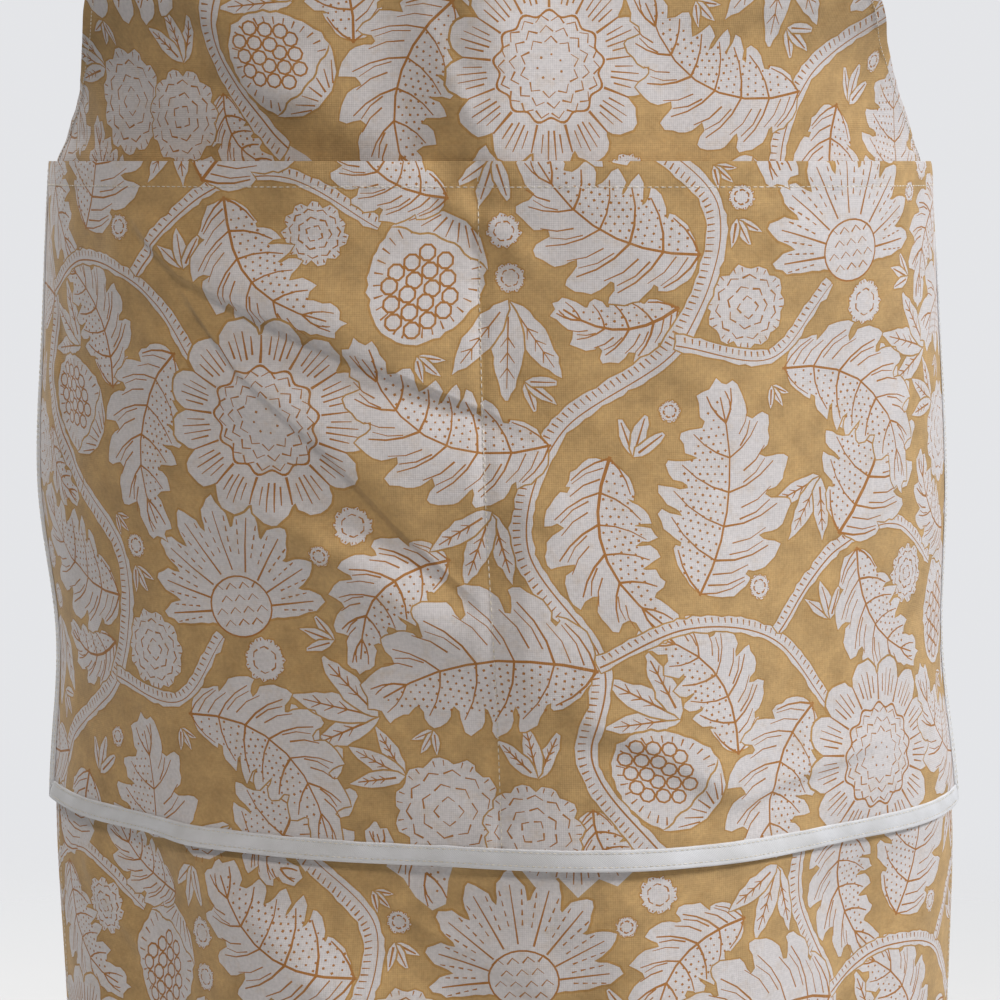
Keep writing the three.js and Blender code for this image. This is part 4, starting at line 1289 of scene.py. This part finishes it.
tape_paths = []
for name, way, steps, length, seed in (
    ("bottom", lower_way, 236, 2 * FLAT_HALF_WIDTH, 31),
    ("left", side_way(-1), 128, POCKET_HEIGHT, 33),
    ("right", side_way(1), 128, POCKET_HEIGHT, 35),
):
    tape = walled(f"pocket_binding_{name}_tape", *tape_rows(way, steps, seed), white_cotton)
    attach(tape, "root")
    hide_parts(f"pocket_binding_{name}")
    for inward, out in ((8.0, 1.36), (1.4, 1.36), (8.0, -1.36), (1.4, -1.36)):
        shares = np.linspace(0.015, 0.985, steps)
        line = [way(share, np.array([inward]), np.array([out]))[0] for share in shares]
        tape_paths.append(np.array(line))
stitched("binding_stitches", tape_paths, 2.8, 2.1, 0.42)


# Neck strap: a folded and topstitched band of the same cotton, sewn behind both corners of the bib's top.
# It goes over the shoulders and round the nape as one loop that carries the apron's weight.
STRAP_WIDTH = 25.0
STRAP_WALL = 1.7
STRAP_OVERLAP = 26.0
STRAP_INSET = 7.0
SEWN_DEPTH = -CAD_WALL / 2 - CLEARANCE
# The strap's right half: shares of the foot's drop, setback and side place, then the way across the band.
STRAP_ROWS = [
    (0.76, 0.95, 0.95, 1, 0.03, 0), (0.52, 0.85, 0.88, 1, 0.1, -0.02), (0.3, 0.71, 0.81, 0.97, 0.2, -0.08),
    (0.12, 0.54, 0.74, 0.92, 0.32, -0.2), (0.01, 0.37, 0.66, 0.78, 0.44, -0.45),
    (-0.03, 0.2, 0.52, 0.5, 0.42, -0.76), (-0.02, 0.065, 0.29, 0.2, 0.32, -0.93), (0, 0, 0, 0, 0.26, -0.97),
]


def unit(vectors):
    return vectors / np.linalg.norm(vectors, axis=-1, keepdims=True)


def eased_curve(points, shares):
    """A smooth curve through points, read at even shares of its spans."""
    p = np.concatenate([[2 * points[0] - points[1]], points, [2 * points[-1] - points[-2]]])
    spans = len(points) - 1
    i = np.minimum((shares * spans).astype(int), spans - 1)
    t = (shares * spans - i)[:, None]
    gaps = np.sqrt(np.linalg.norm(np.diff(p, axis=0), axis=1))
    gaps[gaps < 1e-4] = 1.0
    d0, d1, d2 = (gaps[i + k][:, None] for k in range(3))
    p0, p1, p2, p3 = (p[i + k] for k in range(4))
    m1 = d1 * ((p1 - p0) / d0 - (p2 - p0) / (d0 + d1) + (p2 - p1) / d1)
    m2 = d1 * ((p2 - p1) / d1 - (p3 - p1) / (d1 + d2) + (p3 - p2) / d2)
    return p1 + m1 * t + (3 * (p2 - p1) - 2 * m1 - m2) * t ** 2 + (2 * (p1 - p2) + m1 + m2) * t ** 3


def band_place(centres, across, outs, middle, wall, width, ease=None):
    """The worn place of a band's flat one, from its frames, which are all in metres."""
    run = np.concatenate([[0.0], np.cumsum(np.linalg.norm(np.diff(centres, axis=0), axis=1))]) / MM

    def place(s, a, side):
        c, w, o = (np.column_stack([np.interp(a, run, rows[:, k]) for k in range(3)])
                   for rows in (centres, across, outs))
        rolled = 0.3 * smooth(np.abs(s), width / 2 - 1.2, width / 2)
        piped = 0.14 * np.exp(-((width / 2 - 2.2 - np.abs(s)) / 0.7) ** 2)
        ripple = 0.35 * crumple(s + 40.0, a, 14.0, 51) * (0.4 + np.abs(s) / width)
        out = middle + side * (wall / 2 - rolled - piped) + ripple
        if ease:
            s, out = ease(s, a, out)
        return c + (w * s[:, None] + o * out[:, None]) * MM
    return place, float(run[-1])


def band_piece(name, node, place, width, length, shift):
    """A band of printed cotton with a row of stitches along each edge."""
    along = np.linspace(0.0, length, int(length / 6.0) + 2)
    half = width / 2
    outline = np.concatenate([
        np.linspace(-half, half, 7) + 0j,
        half + 1j * along[1:-1],
        np.linspace(half, -half, 7) + 1j * length,
        -half + 1j * along[::-1][1:-1],
    ])
    lines = []
    for inset_by in (1.2, 2.2, 3.2):
        for hand in (-1, 1):
            lines.append(hand * (half - inset_by) + 1j * np.linspace(1.5, length - 1.5, len(along)))

    def kept_in(loop):
        return np.clip(loop.real, 0.8 - half, half - 0.8) + 1j * np.clip(loop.imag, 0.8, length - 0.8)

    piece = cloth_piece(name, outline, place, shift, lines, None, kept_in, 4.5)
    piece.data.materials.append(printed_cotton)
    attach(piece, "root")
    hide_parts(node)
    rows = []
    for side in (1, -1):
        for hand in (-1, 1):
            run = np.linspace(2.0, length - 2.0, 2 * len(along))
            rows.append(sewn_line(place, hand * (half - 2.2), run, side))
    return rows


def sewn_strap(hand, levels):
    """Places of the strap's inner face behind the bib, and the way across it."""
    middle = BIB_TOP_HALF_WIDTH - STRAP_INSET - STRAP_WIDTH / 2
    z = z_at(levels)
    near = worn(np.full(len(z), hand * (middle - STRAP_WIDTH / 2)), z, SEWN_DEPTH - 2.0)
    far = worn(np.full(len(z), hand * (middle + STRAP_WIDTH / 2)), z, SEWN_DEPTH - 2.0)
    return (near + far) / 2, unit(far - near)


sewn_levels = np.linspace(1.0 - STRAP_OVERLAP / BIB_HEIGHT, 1.0, 10)
halves = []
for hand in (1, -1):
    foot_at, foot_across = sewn_strap(hand, np.array([1.0]))
    at = [foot_at[0]] + [foot_at[0] * (row[2], row[1], row[0]) for row in STRAP_ROWS]
    way = [foot_across[0]] + [unit(np.array([row[3] * hand, row[4], row[5]], float)) for row in STRAP_ROWS]
    halves.append((at, way))
loop_at = np.array(halves[0][0] + halves[1][0][::-1][1:])
loop_way = np.array(halves[0][1] + halves[1][1][::-1][1:])
shares = np.linspace(0.0, 1.0, 240)[1:-1]
free_at = eased_curve(loop_at, shares)
free_way = eased_curve(loop_way, shares)
right_at, right_way = sewn_strap(1, sewn_levels)
left_at, left_way = sewn_strap(-1, sewn_levels[::-1])
centres = np.concatenate([right_at, free_at, left_at])
tangents = unit(np.gradient(centres, axis=0))
across = np.concatenate([right_way, free_way, left_way])
across = unit(across - tangents * np.sum(across * tangents, axis=1)[:, None])
place, STRAP_LENGTH = band_place(centres, across, np.cross(across, tangents), 1.0, STRAP_WALL, STRAP_WIDTH)
strap_rows = band_piece("neck_strap_band", "neck_strap", place, STRAP_WIDTH, STRAP_LENGTH, 40.0 + 25.0j)
box_z = np.linspace(3.0, STRAP_OVERLAP - 3.0, 12)
for start in (0.0, STRAP_LENGTH - STRAP_OVERLAP):
    for across_by in (-9.0, 9.0):
        strap_rows.append(sewn_line(place, across_by, start + box_z, -1))
    for along_by in (3.0, STRAP_OVERLAP - 3.0):
        strap_rows.append(sewn_line(place, np.linspace(-9.0, 9.0, 10), start + along_by, -1))
stitched("neck_strap_stitches", strap_rows)


# Waist ties: two folded and topstitched bands, sewn behind the pocket's top corners. They follow the waist
# round to the back, where they are tied in a plain knot with two hanging ends.
TIE_WIDTH = 22.0
TIE_WALL = 1.3
TIE_OVERLAP = 24.0
TIE_LEVEL = -(3.0 + TIE_WIDTH / 2) / POCKET_HEIGHT
TIE_Z = WAIST_Z - 3.0 - TIE_WIDTH / 2
KNOT_WIDTH = 36.0
KNOT_HEIGHT = 30.0
KNOT_DEPTH = 15.0
KNOT_Y = float(plan_place(np.array([1.0]), np.array([TIE_LEVEL]))[1][0]) + 112.0
UP = np.array([0.0, 0.0, 1.0])
tie_rows = []
for name, hand in (("left", -1), ("right", 1)):
    s = hand * np.linspace(FLAT_HALF_WIDTH - TIE_OVERLAP, FLAT_HALF_WIDTH, 9)
    sewn_at = worn(s, np.full(9, TIE_Z), SEWN_DEPTH - 1.5)
    plan = plan_place(np.array([float(hand)]), np.array([TIE_LEVEL]))
    along = np.array([-plan[3][0] * hand, plan[2][0] * hand, 0.0])
    start = sewn_at[-1]
    reach = KNOT_Y * MM - start[1]
    finish = np.array([hand * (KNOT_WIDTH / 2 - 3.0) * MM, (KNOT_Y - 0.75) * MM, start[2]])
    bend = [start, start + along * reach * 0.62, np.array([start[0] * 0.72, finish[1], start[2]]), finish]
    t = np.linspace(0.0, 1.0, 90)[1:, None]
    free = bend[0] * (1 - t) ** 3 + 3 * bend[1] * t * (1 - t) ** 2
    free = free + 3 * bend[2] * t ** 2 * (1 - t) + bend[3] * t ** 3
    centres = np.concatenate([sewn_at, free])
    tangents = unit(np.gradient(centres, axis=0))
    across = np.tile(-hand * UP, (len(centres), 1))
    outs = unit(np.cross(across, tangents))

    def gathered(s, a, out):
        """The band narrows into pleats where it enters the knot."""
        near = smooth(a, tie_length - 46.0, tie_length - 6.0)
        pleats = 1.5 * np.sin(s / TIE_WIDTH * 3.0 * math.pi) * near
        return s * (1.0 - 0.42 * near), out + pleats

    tie_length = float(np.sum(np.linalg.norm(np.diff(centres, axis=0), axis=1))) / MM
    place, tie_length = band_place(centres, across, outs, 0.75, TIE_WALL, TIE_WIDTH, gathered)
    tie_rows += band_piece(f"waist_tie_{name}_band", f"waist_tie_{name}", place, TIE_WIDTH, tie_length,
                           75.0 * hand + 130.0j)
    end_rows = np.linspace(0.0, 1.0, 60)
    layer = KNOT_Y + hand * KNOT_DEPTH / 4 - 0.75
    end_at = np.column_stack([
        hand * 17.0 * (0.3 + 0.7 * np.sin(end_rows * math.pi / 2)),
        layer + hand * 3.0 * np.sin(end_rows * math.pi),
        TIE_Z - KNOT_HEIGHT / 2 + 3.0 - end_rows * 193.0,
    ]) * MM
    tangents = unit(np.gradient(end_at, axis=0))
    across = np.tile([1.0, 0.0, 0.0], (60, 1))
    across = unit(across - tangents * np.sum(across * tangents, axis=1)[:, None])

    def fallen(s, a, out):
        """The hanging end opens out of its pleats as it falls."""
        near = 1.0 - smooth(a, 4.0, 44.0)
        sway = 1.3 * np.sin(a / 31.0 + hand) * smooth(a, 20.0, 90.0) * s / TIE_WIDTH
        return s * (1.0 - 0.42 * near), out + 1.4 * np.sin(s / TIE_WIDTH * 3.0 * math.pi) * near + sway

    outs = np.cross(across, tangents)
    place, end_length = band_place(end_at, across, outs, 0.75, TIE_WALL, TIE_WIDTH, fallen)
    tie_rows += band_piece(f"tie_end_{name}_band", f"tie_end_{name}", place, TIE_WIDTH, end_length,
                           60.0 * hand + 25.0j)
stitched("waist_tie_stitches", tie_rows)


# Tie knot: the two bands wrapped once round each other and pulled tight, as a small pillow of cloth with
# slanting creases, closed round the bands where they enter it.
KNOT_WALL = 1.1
knot_u = np.linspace(-1.0, 1.0, 57)
knot_v = np.linspace(0.0, 2.0 * math.pi, 97)


def knot_skin(u, v, inward):
    """A point of the knot's skin: u runs across it and v round it."""
    belly = np.maximum(0.0, 1.0 - np.abs(u) ** 2.6)
    high = 7.6 + (KNOT_HEIGHT / 2 - 8.2) * belly ** 0.55 - inward
    deep = 2.3 + (KNOT_DEPTH / 2 - 2.9) * belly ** 0.6 - inward
    slant = u * 1.9 + 0.75 * np.sin(v)
    crease = 0.9 * np.sin(slant * 4.2 + 0.6) * belly + 0.5 * np.sin(slant * 9.0 + v) * belly
    wrap = 1.3 * np.exp(-((slant - 0.95) / 0.16) ** 2) + np.exp(-((slant + 1.15) / 0.2) ** 2)
    swell = 1.0 + (crease - wrap * belly) / 15.0
    power = 0.82
    ring_y = np.sign(np.cos(v)) * np.abs(np.cos(v)) ** power
    ring_z = np.sign(np.sin(v)) * np.abs(np.sin(v)) ** power
    x = u * (KNOT_WIDTH / 2 - 0.6)
    return np.stack([x, KNOT_Y + deep * swell * ring_y, TIE_Z + high * swell * ring_z], axis=-1) * MM


u, v = np.meshgrid(knot_u, knot_v)
flat = np.stack([u * KNOT_WIDTH / 2, v * 12.0], axis=-1)
knot = walled("tie_knot_cloth", knot_skin(u, v, 0.0), knot_skin(u, v, KNOT_WALL), flat, printed_cotton)
corners = np.zeros(len(knot.data.loops) * 2, np.float32)
knot.data.uv_layers["cloth"].data.foreach_get("uv", corners)
middles = corners.reshape(-1, 4, 2).mean(axis=1) / MM @ np.array([1.0, 1.0j])
knot_print = print_over(-20.0 - 5.0j, 20.0 + 80.0j, 30.0 - 60.0j)
knot_inks = inks_at(middles, knot_print).astype(np.float32)
knot.data.attributes.new("ink", "FLOAT", "FACE").data.foreach_set("value", knot_inks)
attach(knot, "root")
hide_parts("tie_knot")


# Floor and light: a pale round floor that fades out, a soft key from the right,
# a small light from above that shows the creases, and two lights behind.
FLOOR_Z = -1.2
floor_mesh = bpy.data.meshes.new("floor")
turn = np.linspace(0.0, 2.0 * math.pi, 97)[:-1]
rings = [0.0, 0.5, 1.0, 1.6, 2.2]
floor_spots = [(r * math.cos(a), r * math.sin(a), FLOOR_Z) for r in rings[1:] for a in turn]
floor_faces = [tuple(range(96))]
for r in range(3):
    for i in range(96):
        j = (i + 1) % 96
        floor_faces.append((r * 96 + i, (r + 1) * 96 + i, (r + 1) * 96 + j, r * 96 + j))
floor_mesh.from_pydata(floor_spots, [], floor_faces)
floor = bpy.data.objects.new("floor", floor_mesh)
bpy.context.scene.collection.objects.link(floor)
matt_floor, tree = new_material("matt_painted_board")
floor_place = add_node(tree, "ShaderNodeTexCoord").outputs["Object"]
reach = add_node(tree, "ShaderNodeVectorMath", {0: floor_place}, operation="LENGTH").outputs["Value"]
fade = add_node(tree, "ShaderNodeMapRange", {
    "Value": reach, "From Min": 1.35, "From Max": 2.3, "To Min": 1.0, "To Max": 0.0,
}, interpolation_type="SMOOTHSTEP").outputs[0]
dust = add_node(tree, "ShaderNodeTexNoise", {"Vector": floor_place, "Scale": 6.0}).outputs["Fac"]
floor_rough = add_node(tree, "ShaderNodeMapRange", {"Value": dust, "To Min": 0.7, "To Max": 0.85}).outputs[0]
floor_shader = add_node(tree, "ShaderNodeBsdfPrincipled", {
    "Base Color": linear("#e9e9e8"), "Roughness": floor_rough, "Alpha": fade,
})
add_node(tree, "ShaderNodeOutputMaterial", {"Surface": floor_shader.outputs[0]})
floor_mesh.materials.append(matt_floor)

world = bpy.data.worlds.new("studio")
bpy.context.scene.world = world
world.use_nodes = True
world.node_tree.nodes.clear()
straight = add_node(world.node_tree, "ShaderNodeLightPath").outputs["Is Camera Ray"]
strength = add_node(world.node_tree, "ShaderNodeMapRange", {
    "Value": straight, "To Min": 0.15, "To Max": 0.86,
}).outputs[0]
sky = add_node(world.node_tree, "ShaderNodeBackground", {"Color": linear("#f4f5f8"), "Strength": strength})
add_node(world.node_tree, "ShaderNodeOutputWorld", {"Surface": sky.outputs[0]})


def soft_light(name, place, target, size, watts, tint):
    """A square area light that looks at a point."""
    data = bpy.data.lights.new(name, "AREA")
    data.shape = "SQUARE"
    data.size = size
    data.energy = watts
    data.color = linear(tint)[:3]
    light = bpy.data.objects.new(name, data)
    light.location = place
    light.rotation_euler = (Vector(target) - Vector(place)).to_track_quat("-Z", "Y").to_euler()
    bpy.context.scene.collection.objects.link(light)


soft_light("key", (2.05, -0.86, 0.72), (0.0, -0.15, -0.6), 0.6, 50.0, "#fbfcff")
soft_light("top", (-0.6, -1.9, 1.5), (0.0, -0.15, -0.6), 0.5, 30.0, "#fff7f0")
soft_light("rim", (1.2, 1.8, 0.9), (0.0, 0.0, -0.5), 1.0, 24.0, "#ffffff")
soft_light("back", (-1.5, 1.8, 0.4), (0.0, 0.0, -0.5), 1.2, 30.0, "#ffffff")
bpy.context.scene.view_settings.view_transform = "Standard"
